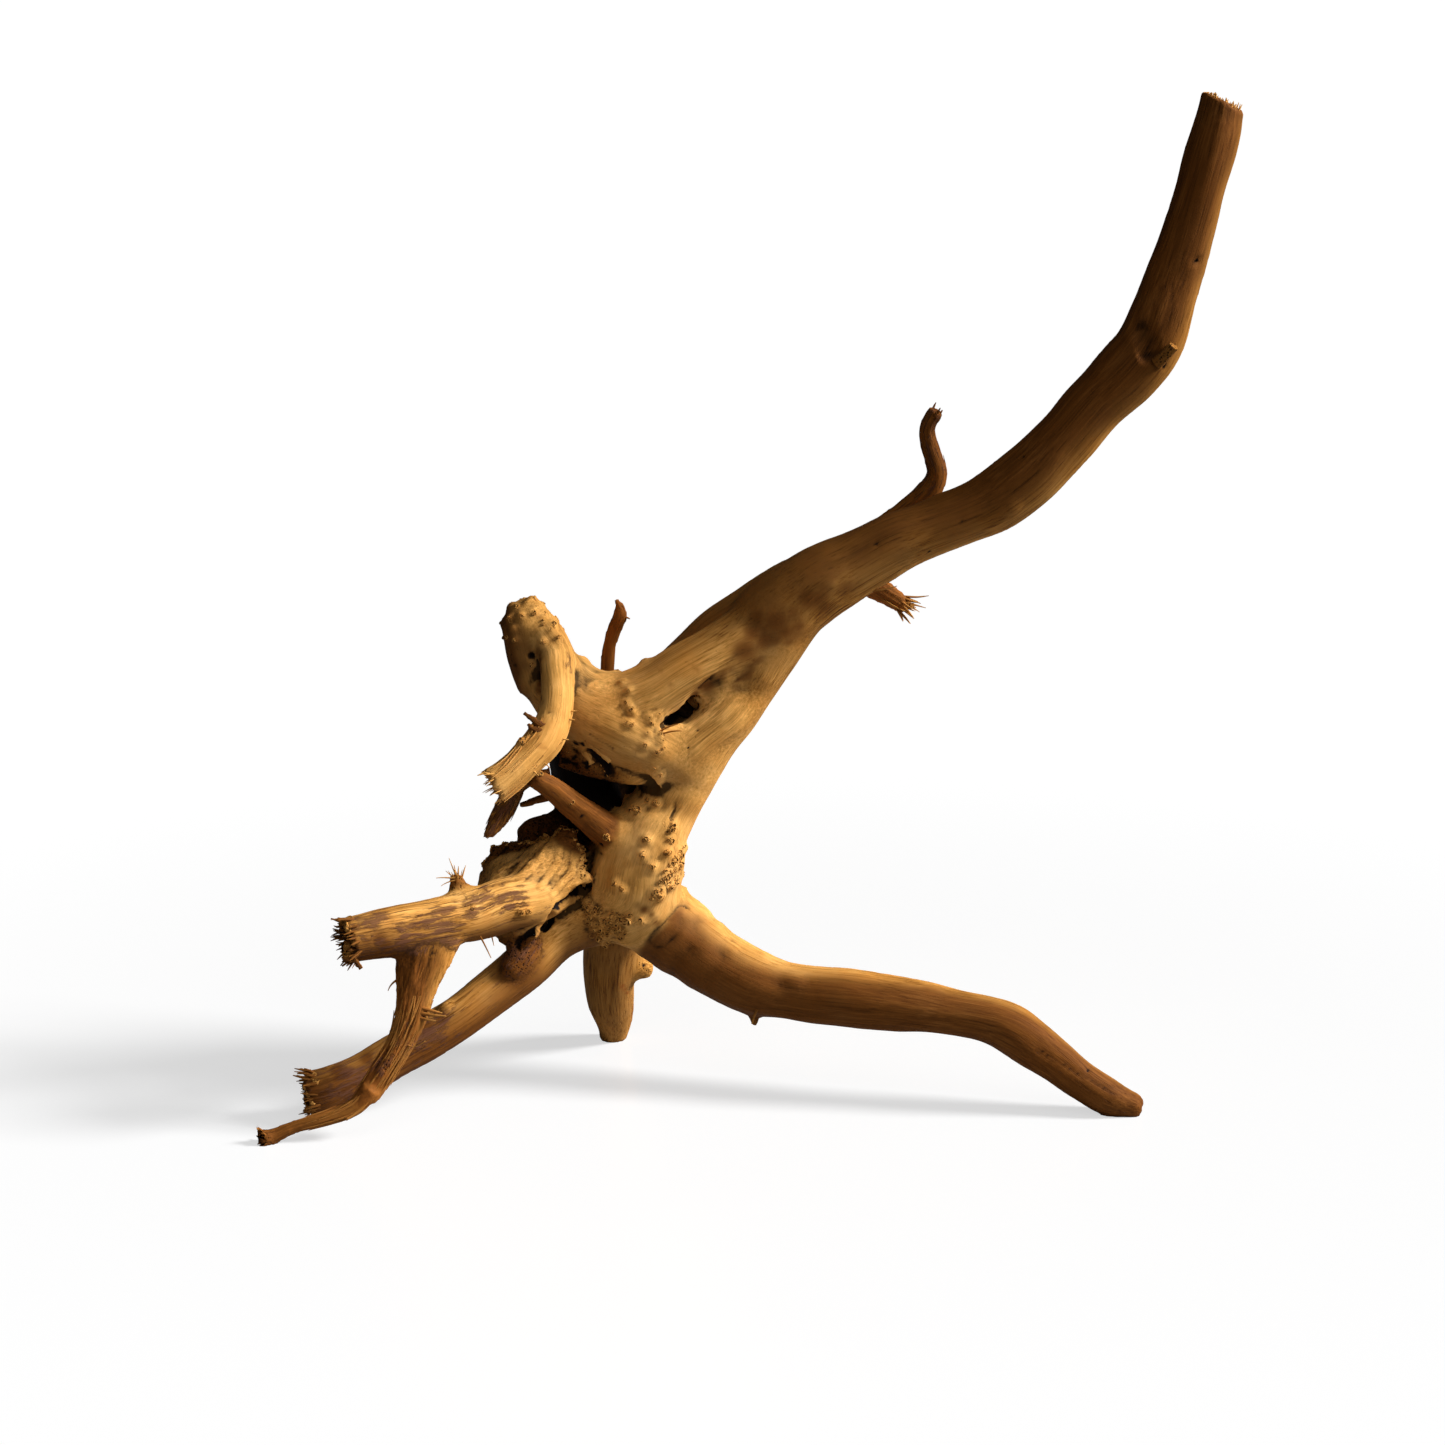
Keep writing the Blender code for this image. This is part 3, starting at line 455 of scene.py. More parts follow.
class Grain:
    """Where each point lies on its limb: across it, deep into it and along it."""

    def __init__(self, points: np.ndarray, limbs: tuple[Limb, ...]) -> None:
        """Finds the nearest limb of each point."""
        count = len(points)
        self.names = [limb.name for limb in limbs]
        self.first = np.full(count, np.inf)
        self.second = np.full(count, np.inf)
        self.limb = np.zeros(count, np.int64)
        self.local = np.zeros((count, 3))
        self.radius = np.zeros(count)
        self.reach = np.zeros(count)  # how far along its limb, from 0 to 1
        for k, limb in enumerate(limbs):
            self._measure(points, k, *limb.run())

    def _measure(self, points: np.ndarray, index: int, middle: np.ndarray, radii: np.ndarray,
                 ways: np.ndarray) -> None:
        """Takes over the points that lie nearest to this limb."""
        across, deep = side_axes(ways)
        length = np.concatenate([[0], np.cumsum(np.linalg.norm(np.diff(middle, axis=0), axis=1))])
        gap = np.full(len(points), np.inf)
        best = np.zeros(len(points), np.int64)
        for k, (centre, radius) in enumerate(zip(middle, radii)):
            away = distance_to(points, centre) - radius
            nearer = away < gap
            gap[nearer] = away[nearer]
            best[nearer] = k
        wins = gap < self.first
        self.second = np.where(wins, self.first, np.minimum(self.second, gap))
        self.first = np.where(wins, gap, self.first)
        at = best[wins]
        out = points[wins] - middle[at]
        self.limb[wins] = index
        self.radius[wins] = radii[at]
        self.local[wins, 0] = np.einsum("ij,ij->i", out, across[at])
        self.local[wins, 1] = np.einsum("ij,ij->i", out, deep[at])
        self.local[wins, 2] = length[at] + np.einsum("ij,ij->i", out, ways[at])
        self.reach[wins] = length[at] / length[-1]

    def fade(self, width: float = 5.0) -> np.ndarray:
        """1 on a limb's own skin and 0 where two limbs meet."""
        return np.clip((self.second - self.first) / width, 0, 1)

    def on(self, name: str) -> np.ndarray:
        """True for the points of the named limb."""
        return self.limb == self.names.index(name)


@dataclass
class Brush:
    """Lays marks on a skin: raises or lowers it and paints its masks."""

    skin: Skin
    seed: int = 5
    dab_step: float = 2.0  # pixels between the dabs of a stroke
    dab_drift: float = 0.22  # how far a dab strays from its line, as a share of the stroke's reach
    dab_reach: tuple[float, float] = (0.45, 1.2)  # the least and the most of it that one dab has
    dab_strength: tuple[float, float] = (0.5, 1.1)

    def __post_init__(self) -> None:
        """Notes where the skin's points are."""
        count = len(self.skin.points)
        self.tree = self.skin.tree()
        self.kd = KDTree(count)
        for k, point in enumerate(self.skin.points):
            self.kd.insert(point, k)
        self.kd.balance()
        self.normals = self.skin.normals()
        self.rise = np.zeros(count)
        self.masks = {tone: np.zeros(count) for tone in Tone}
        self.draw = np.random.default_rng(self.seed)

    def near(self, centre: Vector, reach: float) -> tuple[np.ndarray, np.ndarray]:
        """Indices and distances of the skin's points within reach of the centre."""
        found = self.kd.find_range(centre, reach)
        return np.array([f[1] for f in found], np.int64), np.array([f[2] for f in found], float)

    def paint(self, tone: Tone, centre: Vector, reach: float, strength: float = 1.0) -> None:
        """Adds a soft-edged dab of a tone round the centre."""
        at, away = self.near(centre, reach)
        share = np.clip(1 - away / reach, 0, 1)
        share = share * share * (3 - 2 * share) * strength
        self.masks[tone][at] = np.maximum(self.masks[tone][at], share)

    def lift(self, centre: Vector, reach: float, height: float, power: float = 1.5) -> None:
        """Raises a dome, or sinks a dish with a negative height, round the centre."""
        at, away = self.near(centre, reach)
        self.rise[at] += height * np.clip(1 - (away / reach) ** 2, 0, 1) ** power

    def seen_line(self, pixels: tuple[Pixel, ...], step: float = 3.0) -> list[Vector]:
        """Points on the skin, close together, behind a line of pixels."""
        spots = []
        for a, b in zip(pixels, pixels[1:]):
            count = max(1, round(math.dist(a, b) / step))
            for k in range(count):
                share = k / count
                found = SIGHT.spot(self.tree, (a[0] + (b[0] - a[0]) * share, a[1] + (b[1] - a[1]) * share))
                if found:
                    spots.append(found[0])
        return spots

    def stroke(self, tone: Tone, pixels: tuple[Pixel, ...], reach: float, strength: float = 1.0) -> None:
        """Paints a tone along a line of pixels, with uneven edges."""
        for spot in self.seen_line(pixels, self.dab_step):
            aside = Vector(self.draw.normal(0, reach * self.dab_drift, 3))
            wide = reach * self.draw.uniform(*self.dab_reach)
            self.paint(tone, spot + aside, wide, strength * self.draw.uniform(*self.dab_strength))

    def groove(self, pixels: tuple[Pixel, ...], reach: float, height: float) -> None:
        """Cuts a furrow, or with a positive height raises a ridge, along a line of pixels."""
        best = np.zeros(len(self.rise))
        for spot in self.seen_line(pixels):
            at, away = self.near(spot, reach)
            best[at] = np.maximum(best[at], np.clip(1 - (away / reach) ** 2, 0, 1))
        self.rise += best * height


@dataclass
class Warts:
    """The crumbly warts: seen ones by pixel, those of the unseen sides by a seeded rule."""

    seed: int = 13
    radius: float = 2.0
    height: float = 1.3
    sizes: tuple[float, float] = (0.8, 1.25)  # the least and the most of both that an unseen wart has
    behind: float = 0.2  # how far a place has to face the back to carry an unseen wart
    hill_reach: float = 2.2  # as shares of the wart's radius and height
    hill_share: float = 0.75
    button_share: float = 0.3
    crumb_reach: float = 1.2
    crumb: float = 0.6
    stain_and_shade: float = 0.4
    unseen: list[Vector] = field(default_factory=list)

    def raise_all(self, brush: Brush) -> None:
        """Raises every wart and marks it as crumbly."""
        for radius, height, pixels in SEEN_WARTS.values():
            for pixel in pixels:
                found = SIGHT.spot(brush.tree, pixel)
                if found:
                    self._wart(brush, found[0], radius, height)
        draw = np.random.default_rng(self.seed)
        points, normals = brush.skin.points, brush.normals
        taken: list[np.ndarray] = []
        for centre, reach, apart in WART_FIELDS:
            inside = np.flatnonzero((distance_to(points, centre) < reach) & (normals[:, 1] > self.behind))
            for k in draw.permutation(inside):
                if all(np.linalg.norm(points[k] - t) > apart for t in taken):
                    taken.append(points[k].copy())
                    size = draw.uniform(*self.sizes)
                    self.unseen.append(Vector(points[k]))
                    self._wart(brush, Vector(points[k]), self.radius * size, self.height * size)

    def _wart(self, brush: Brush, spot: Vector, radius: float, height: float) -> None:
        """Raises one wart: a broad low hill with a steep crumbly button on it."""
        brush.lift(spot, radius * self.hill_reach, height * self.hill_share, 2.0)
        brush.lift(spot, radius, height * self.button_share, 0.7)
        brush.paint(Tone.CRUMB, spot, radius * self.crumb_reach, self.crumb)
        brush.paint(Tone.STAIN_AND_SHADE, spot, radius, self.stain_and_shade)


@dataclass
class RootSkin:
    """The root's whole skin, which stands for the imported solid."""

    voxel: float = 1.74
    solid_voxel: float = 1.6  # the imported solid's, which sets how far the crotches are filled
    relax_turns: int = 5
    crotch_turns: int = 60
    ring_sides: int = 20
    cap_lifts: tuple[float, ...] = (0.35, 0.65, 0.9)  # places of a round tip's rings, as shares of its radius
    flute_width: float = 7.0
    flute_length: float = 55.0
    flute_share: float = 0.075
    flute_shift: float = 17.3  # sets the flutes of one limb apart from the next one's
    swell_size: float = 15.0
    swell_height: float = 0.7
    swell_radius: float = 10.0  # a limb of this radius or more has its swells in full
    fibre_size: float = 3.0
    tip_reach: float = 2.0
    tip_shift: float = 5.1  # sets the fibres of one broken tip apart from the next one's
    cut_reach: float = 14.0
    gap_ramp: float = 0.35
    tone_turns: int = 14  # how far a limb's tones run into its neighbour's
    side_turns: int = 12
    side_turn: float = 0.25  # how far the painted shade of a side reaches round the limb
    side_least: float = -0.6
    groove_length: float = 28.0
    crumb_sizes: tuple[float, float] = (0.95, 2.1)
    crumb_height: float = 0.36
    coarse_share: float = 0.6  # of the coarse crumbs, next to the fine ones
    foot_press: float = 0.5  # wood that lies lower than this is pressed flat on the floor
    # masks for painted shade in small hollows and broad valleys, and a painted highlight on ridges
    hollows: tuple[tuple[Tone, int, float], ...] = (  # mask, turns of smoothing, depth that fills the mask
        (Tone.HOLLOW, 6, 0.5), (Tone.VALLEY, 44, 2.2))
    warts: Warts = field(default_factory=Warts)

    def build(self, material: bpy.types.Material) -> bpy.types.Object:
        """Grows, refines, marks and dresses the skin.

        Args:
            material: The wood.

        Returns:
            The finished piece.
        """
        root = self._tubes()
        self._fuse(root)
        skin = Skin(root.data)
        turns = (self.solid_voxel / self.voxel) ** 2
        skin.relax(round(self.relax_turns * turns))
        skin.fill_crotches(round(self.crotch_turns * turns), self._closed(skin.points))
        self._relief(skin)
        skin.write()
        self._refine(root)
        skin = Skin(root.data)
        skin.relax(1)
        self._detail(skin)
        low = skin.points[:, 2] < self.foot_press
        skin.points[low, 2] = 0
        skin.seat()
        root.data.shade_smooth()
        Bench.finish(root, material)
        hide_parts("dry_root")
        return root

    def _tubes(self) -> bpy.types.Object:
        """The limbs' tubes and the collar in one mesh, not yet fused."""
        bm = bmesh.new()
        for limb in LIMBS:
            self._tube(bm, limb)
        self._collar(bm)
        for face in bm.faces[:]:
            if len(face.verts) > 4:
                bmesh.ops.poke(bm, faces=[face])
        bmesh.ops.recalc_face_normals(bm, faces=bm.faces)
        mesh = bpy.data.meshes.new("root_skin")
        bm.to_mesh(mesh)
        bm.free()
        return Bench.place("root_skin", mesh)

    def _rings(self, bm: bmesh.types.BMesh, rings: list) -> None:
        """Joins rings of points into a closed tube."""
        loops = [[bm.verts.new(p) for p in ring] for ring in rings]
        for near, far in zip(loops, loops[1:]):
            for k in range(len(near)):
                nxt = (k + 1) % len(near)
                bm.faces.new((near[k], near[nxt], far[nxt], far[k]))
        bm.faces.new(list(reversed(loops[0])))
        bm.faces.new(loops[-1])

    def _tube(self, bm: bmesh.types.BMesh, limb: Limb) -> None:
        """Adds one limb's tube."""
        points, radii, ways = limb.run()
        across, deep = side_axes(ways)
        turns = np.linspace(0, 2 * math.pi, self.ring_sides, endpoint=False)
        rows = list(zip(points, radii, across, deep))
        if limb.round_tip:
            for lift in self.cap_lifts:
                bulge = math.sqrt(1 - lift**2)
                centre = points[-1] + ways[-1] * radii[-1] * lift
                rows.append((centre, radii[-1] * bulge, across[-1], deep[-1]))
        self._rings(bm, [[p + r * (math.cos(t) * a + limb.thickness * math.sin(t) * d) for t in turns]
                         for p, r, a, d in rows])

    def _collar(self, bm: bmesh.types.BMesh, throat_radius: float = 10.5, wall: float = 3.4,
                steps: int = 6, waist: float = 5.0, edge: float = 0.8, bevel: float = 0.06,
                inner: float = 0.6) -> None:
        """Adds the torn collar: a flare from the broken root's throat out to the scalloped lip.

        Args:
            bm: The mesh that it goes into.
            throat_radius: Radius where the flare begins.
            wall: Thickness of the lip.
            steps: Rings from the throat to the lip.
            waist: How far the flare hangs back towards the root before it opens.
            edge: Height of the lip's top edge, as a share of the wall.
            bevel: How far that edge draws in, as a share of the lip's distance from the middle.
            inner: Where the mouth's inside lies, as a share of the same distance.
        """
        axis = (COLLAR_HUB - COLLAR_THROAT).normalized()
        lip = [Vector(p) for p in COLLAR_LIP]
        throat = []
        for p in lip:
            out = p - COLLAR_HUB
            out = (out - axis * out.dot(axis)).normalized()
            throat.append(COLLAR_THROAT + out * throat_radius)
        rings = []
        for k in range(steps + 1):
            share = k / steps
            rings.append([a.lerp(b, share) - (b - COLLAR_HUB).normalized() * waist * math.sin(math.pi * share)
                          for a, b in zip(throat, lip)])
        rings.append([p + axis * wall * edge - (p - COLLAR_HUB) * bevel for p in lip])
        rings.append([COLLAR_HUB + (p - COLLAR_HUB) * inner + axis * wall for p in lip])
        self._rings(bm, rings)

    def _fuse(self, root: bpy.types.Object) -> None:
        """Fuses the tubes into one skin of even squares."""
        Bench.take(root)
        root.data.remesh_voxel_size = self.voxel
        root.data.remesh_voxel_adaptivity = 0
        bpy.ops.object.voxel_remesh()

    def _closed(self, points: np.ndarray) -> np.ndarray:
        """0 within a gap that stays open, 1 away from it."""
        share = np.ones(len(points))
        for centre, reach in OPEN_GAPS:
            away = distance_to(points, centre) / reach - 1
            share = np.minimum(share, np.clip(away / self.gap_ramp, 0, 1))
        return share

    def _relief(self, skin: Skin) -> None:
        """Raises flutes, wrinkles, swells and knots, and tears the broken tips."""
        grain = Grain(skin.points, LIMBS)
        normals = skin.normals()
        fade = grain.fade()
        at = grain.local / (self.flute_width, self.flute_width, self.flute_length)
        at += grain.limb[:, None] * self.flute_shift
        height = smooth_noise(at, 1) * grain.radius * self.flute_share * fade
        height += self._wrinkles(skin.points, grain) * fade
        swell = self.swell_height * np.clip(grain.radius / self.swell_radius, 0, 1)
        height += smooth_noise(skin.points / self.swell_size, 2) * swell
        skin.points += height[:, None] * normals + self._torn_tips(skin.points, grain)
        tree = skin.tree()
        normals = skin.normals()
        for centre, radius, lift in KNOTS:
            spot, normal, _, _ = tree.find_nearest(Vector(centre))
            way = np.array(normal)
            share = np.clip(1 - (distance_to(skin.points, spot) / radius) ** 2, 0, 1) ** 1.5
            skin.points += (share * lift * (normals @ way > 0.1))[:, None] * way

    def _wrinkles(self, points: np.ndarray, grain: Grain, centre: tuple = (-24, 4, 64), reach: float = 24,
                  wave: float = 13.0, height: float = 0.6) -> np.ndarray:
        """Growth wrinkles across the crotch of the right root."""
        share = np.clip(1 - distance_to(points, centre) / reach, 0, 1) ** 0.5
        bend = smooth_noise(points / 9, 3) * 2
        return np.sin(grain.local[:, 2] / wave * 2 * math.pi + bend) * height * share

    def _torn_tips(self, points: np.ndarray, grain: Grain) -> np.ndarray:
        """How far each point of a broken tip is pulled out into fibres."""
        moves = np.zeros_like(points)
        for k, limb in enumerate(LIMBS):
            if not limb.ragged:
                continue
            middle, _, ways = limb.run()
            past = (points - middle[-1]) @ ways[-1]
            share = np.clip(past / self.tip_reach + 1, 0, 1) * (grain.limb == k)
            cut = np.clip(past / self.cut_reach + 1, 0, 1) * (grain.limb == k)
            shift = np.full(len(points), k * self.tip_shift)
            at = np.column_stack([grain.local[:, :2] / self.fibre_size, shift])
            along = smooth_noise(at, 5) * share * limb.ragged - limb.fall(grain.local[:, 0]) * cut
            moves += along[:, None] * ways[-1]
        return moves

    def _refine(self, root: bpy.types.Object) -> None:
        """Splits the faces of the places that carry fine detail."""
        Bench.take(root)
        faces = root.data.polygons
        centres = np.empty(len(faces) * 3)
        faces.foreach_get("center", centres)
        centres = centres.reshape(-1, 3)
        chosen = np.zeros(len(faces), bool)
        for centre, reach in FINE_PLACES:
            chosen |= distance_to(centres, centre) < reach
        for parts in (root.data.vertices, root.data.edges):
            parts.foreach_set("select", np.zeros(len(parts), bool))
        faces.foreach_set("select", chosen)
        bpy.context.tool_settings.mesh_select_mode = (False, False, True)
        bpy.ops.object.mode_set(mode="EDIT")
        bpy.ops.mesh.subdivide(number_cuts=1, smoothness=0.0)
        bpy.ops.object.mode_set(mode="OBJECT")

    def _detail(self, skin: Skin) -> None:
        """Raises warts, crumbs and grooves on the refined skin, and paints the masks of the finish."""
        brush = Brush(skin)
        grain = Grain(skin.points, GRAIN_RUNS)
        limbs = Grain(skin.points, SKIN_LIMBS)
        self._limb_tones(skin, brush, limbs)
        self._collar_rim(brush)
        self.warts.raise_all(brush)
        Marks().lay_all(brush)
        self._fibrous(brush, limbs)
        skin.points += brush.rise[:, None] * brush.normals
        small, coarse = self.crumb_sizes
        crumbs = smooth_noise(skin.points / small, 11)
        crumbs += self.coarse_share * smooth_noise(skin.points / coarse, 12)
        skin.points += (crumbs * self.crumb_height * brush.masks[Tone.CRUMB])[:, None] * brush.normals
        self._hollows(skin, brush)
        offset = grain.limb[:, None] * np.array(GRAIN_SHIFT)
        skin.keep("grain", (grain.local + offset) * (1, 1, 1 / GRAIN_STRETCH))
        skin.keep("fade", grain.fade(3.0))
        for tone, mask in brush.masks.items():
            skin.keep(tone.value, np.clip(mask, 0, 1))

    def _limb_tones(self, skin: Skin, brush: Brush, limbs: Grain) -> None:
        """Paints each limb's own tones and lets them run into each other, and paints brown shade on one side of
        some limbs.
        """
        for tone in (Tone.PALE, Tone.STAIN_AND_SHADE, Tone.BARK, Tone.TORN, Tone.DARK, Tone.CRUMB):
            mask = np.zeros(len(skin.points))
            for name, tones in LIMB_TONES.items():
                if tone in tones:
                    start, end = tones[tone]
                    on = limbs.on(name)
                    mask[on] = start + (end - start) * limbs.reach[on]
            brush.masks[tone] = skin.soften(mask, self.tone_turns)
        # Painted shade: the listed limbs get brown on the side that turns from the key light
        stain_and_shade = brush.masks[Tone.STAIN_AND_SHADE]
        for name, (way, share) in SHADED_SIDES.items():
            facing = brush.normals @ np.array(Vector(way).normalized())
            side = share * np.clip(facing + self.side_turn, self.side_least, 1)
            stain_and_shade = np.where(limbs.on(name), stain_and_shade + side, stain_and_shade)
        brush.masks[Tone.STAIN_AND_SHADE] = np.clip(skin.soften(stain_and_shade, self.side_turns), 0, 1)
        for tone, centre, reach, strength in TONE_PLACES:
            brush.paint(tone, Vector(centre), reach, strength)

    def _collar_rim(self, brush: Brush, step: float = 2.2, stray: float = 0.9, crumb_reach: float = 2.8,
                    crumb: float = 0.9, reaches: tuple[float, float] = (1.6, 3.2),
                    heights: tuple[float, float] = (-0.3, 1.2), seed: int = 31) -> None:
        """Crumbles the collar's lip into uneven lobes and small warts.

        Args:
            brush: Lays them on the skin.
            step: Distance from one lobe to the next.
            stray: How far a lobe lies off the lip's line.
            crumb_reach: Reach of the crumbly wood round a lobe.
            crumb: How crumbly it is.
            reaches: The least and the most of a lobe's reach.
            heights: The least and the most of its height.
            seed: Sets the random draws.
        """
        draw = np.random.default_rng(seed)
        lip = [np.array(p, float) for p in COLLAR_LIP[:COLLAR_CRUMBLY]]
        for a, b in zip(lip, lip[1:]):
            for share in np.arange(0, 1, step / np.linalg.norm(b - a)):
                spot = Vector(a + (b - a) * share + draw.normal(0, stray, 3))
                brush.paint(Tone.CRUMB, spot, crumb_reach, crumb)
                brush.lift(spot, draw.uniform(*reaches), draw.uniform(*heights), 1.0)

    def _fibrous(self, brush: Brush, limbs: Grain) -> None:
        """Cuts lengthwise grooves into the limbs whose wood is torn or weathered."""
        for name, (width, depth) in GROOVED.items():
            on = limbs.on(name)
            at = limbs.local[on] / (width, width, self.groove_length)
            ridges = 1 - 2 * np.abs(smooth_noise(at + 3.3, 21))
            brush.rise[on] += ridges * depth * limbs.fade()[on]

    def _hollows(self, skin: Skin, brush: Brush) -> None:
        """Notes how far each point lies below the skin round it, for painted shade in hollows and valleys and a
        painted highlight on ridges.
        """
        normals = skin.normals()
        wide = skin.points.copy()
        for tone, turns, full in self.hollows:
            for _ in range(turns):
                wide += 0.5 * np.column_stack([skin.around(wide[:, k]) for k in range(3)]) - 0.5 * wide
            depth = np.einsum("ij,ij->i", wide - skin.points, normals)
            brush.masks[tone] = np.clip(0.5 + depth / full, 0, 1)


# Knots, each with its centre near the skin, radius and height
KNOTS = (
    ((20, -14, 50), 5.5, 0.9), ((-4, -6, 65), 4.5, 0.8),
    ((104, -10, 236), 6.0, 0.6),
    ((-118, -24, 42), 4.5, 1.6),
)

# Where the skin is split finer: centre and reach
FINE_PLACES = (
    ((-84, 6, 190), 19), ((-45, -8, 152), 18), ((-43, 2, 95), 28), ((-80, -6, 88), 28),
    ((-96, -40, 136), 14), ((-152, -51, 78), 14), ((-168, -39, 11), 15), ((-51, 52, 25), 16),
    ((181, -1, 394), 11), ((153, -8, 299), 8), ((-128, -48, 50), 20), ((-140, -56, 26), 16),
    ((-185, -66, 3), 10), ((63, 26, 194), 10), ((74, 23, 268), 9), ((-51, 30, 190), 9),
    ((-22, -4, 157), 15), ((-57, -6, 70), 17), ((-111, -26, 90), 9), ((-93, -15, 120), 16),
    ((150, -31, 5), 10),
)

GRAIN_STRETCH = 14.0  # how many times longer than wide the fibres of the grain are
GRAIN_SHIFT = (41.3, 23.7, 7.9)  # sets the grain of one run apart from the next one's

# The tones of each limb, at its buried end and at its tip
LIMB_TONES: dict[str, dict[Tone, tuple[float, float]]] = {
    "leader": {Tone.PALE: (0.3, 0.1), Tone.STAIN_AND_SHADE: (0.15, 0.85)},
    "right_arm": {Tone.PALE: (0.2, 0.9), Tone.STAIN_AND_SHADE: (0.5, 0.0)},
    "left_arm": {Tone.PALE: (0.3, 0.8), Tone.STAIN_AND_SHADE: (0.45, 0.05)},
    "cheek": {Tone.PALE: (0.9, 0.5)},
    # under_lip: its dark is painted shade under the saddle's lip
    "under_lip": {Tone.TORN: (0.3, 0.2), Tone.STAIN_AND_SHADE: (1.0, 0.8), Tone.DARK: (0.45, 0.4),
        Tone.CRUMB: (0.5, 0.5)},
    "frayed_knot": {Tone.STAIN_AND_SHADE: (1.0, 1.0), Tone.DARK: (0.3, 0.3), Tone.CRUMB: (0.5, 0.6),
        Tone.BARK: (0.8, 0.8)},
    "saddle": {Tone.PALE: (0.8, 0.9)},
    "knob": {Tone.PALE: (0.8, 0.7), Tone.STAIN_AND_SHADE: (0.0, 0.15)},
    "hook": {Tone.PALE: (0.75, 0.8), Tone.TORN: (0.0, 0.35)},
    "strut": {Tone.TORN: (0.3, 0.3), Tone.STAIN_AND_SHADE: (1.0, 0.85), Tone.PALE: (0.2, 0.0)},
    "lower_burl": {Tone.PALE: (1.1, 0.8)},
    "left_root": {Tone.PALE: (0.6, 0.0), Tone.BARK: (0.15, 0.7), Tone.STAIN_AND_SHADE: (0.1, 0.95)},
    "broken_root": {Tone.PALE: (0.85, 0.1), Tone.BARK: (0.25, 0.6), Tone.STAIN_AND_SHADE: (0.0, 0.5)},
    "strap": {Tone.PALE: (0.15, 0.0), Tone.TORN: (0.35, 0.7), Tone.STAIN_AND_SHADE: (0.7, 0.7), Tone.BARK: (0.3, 0.1)},
    "thin_tip": {Tone.TORN: (0.5, 0.2), Tone.STAIN_AND_SHADE: (0.55, 0.95)},
    "right_root": {Tone.PALE: (0.9, 0.0), Tone.STAIN_AND_SHADE: (0.25, 0.95)},
    "back_limb": {Tone.PALE: (0.2, 0.4), Tone.STAIN_AND_SHADE: (0.5, 0.35)},
    "stub_bump": {Tone.PALE: (0.5, 0.5)},
    "splinter": {Tone.TORN: (0.8, 0.8), Tone.STAIN_AND_SHADE: (0.6, 0.9)},
    "curl": {Tone.TORN: (0.5, 0.5), Tone.STAIN_AND_SHADE: (0.6, 0.9), Tone.BARK: (0.4, 0.8)},
    "torn_stub": {Tone.TORN: (0.9, 0.8), Tone.STAIN_AND_SHADE: (0.5, 0.4)},
    # back_web, heel and back_burl lie behind the crown: their dark is painted shade
    "back_web": {Tone.DARK: (0.6, 0.9), Tone.STAIN_AND_SHADE: (0.8, 0.8)},
    "heel": {Tone.DARK: (0.7, 0.6), Tone.STAIN_AND_SHADE: (0.8, 0.8)},
    "back_burl": {Tone.DARK: (0.7, 0.42), Tone.STAIN_AND_SHADE: (1.0, 1.0), Tone.BARK: (0.5, 0.5),
        Tone.CRUMB: (0.5, 1.0)},
    "dark_strip": {Tone.BARK: (1.2, 1.0), Tone.STAIN_AND_SHADE: (0.8, 0.5)},
    # dark_twig lies in the hollow under the saddle: its dark is painted shade
    "dark_twig": {Tone.STAIN_AND_SHADE: (0.9, 0.9), Tone.DARK: (0.6, 0.2)},
    "peg": {Tone.STAIN_AND_SHADE: (0.4, 0.7)},
    "side_knob": {Tone.STAIN_AND_SHADE: (0.5, 0.7), Tone.TORN: (0.4, 0.4), Tone.CRUMB: (0.0, 1.0)},
}

# Limbs with a brown painted shade on one side, mostly the side turned from the key light: the way that this
# side faces, and how much shade
SHADED_SIDES: dict[str, tuple[tuple[float, float, float], float]] = {
    "leader": ((-0.8, -0.45, 0.4), 0.5),
    "right_arm": ((-0.6, -0.2, 0.5), 0.35),
    "left_arm": ((-0.3, 0.2, 0.7), 0.25),
    "right_root": ((-0.1, -0.75, -0.65), 1.0),
    "left_root": ((-0.2, -0.2, -1), 0.6),
    "broken_root": ((-0.1, -0.1, -1), 0.5),
    "knob": ((-1, 0.1, -0.3), 0.95),
    "strap": ((-1, -0.1, 0.3), 1.1),
    "saddle": ((-0.1, -0.5, -0.9), 0.4),
    "hook": ((-0.8, 0.2, -0.7), 0.25),
    "back_limb": ((0, -1, 0), 0.2),
}

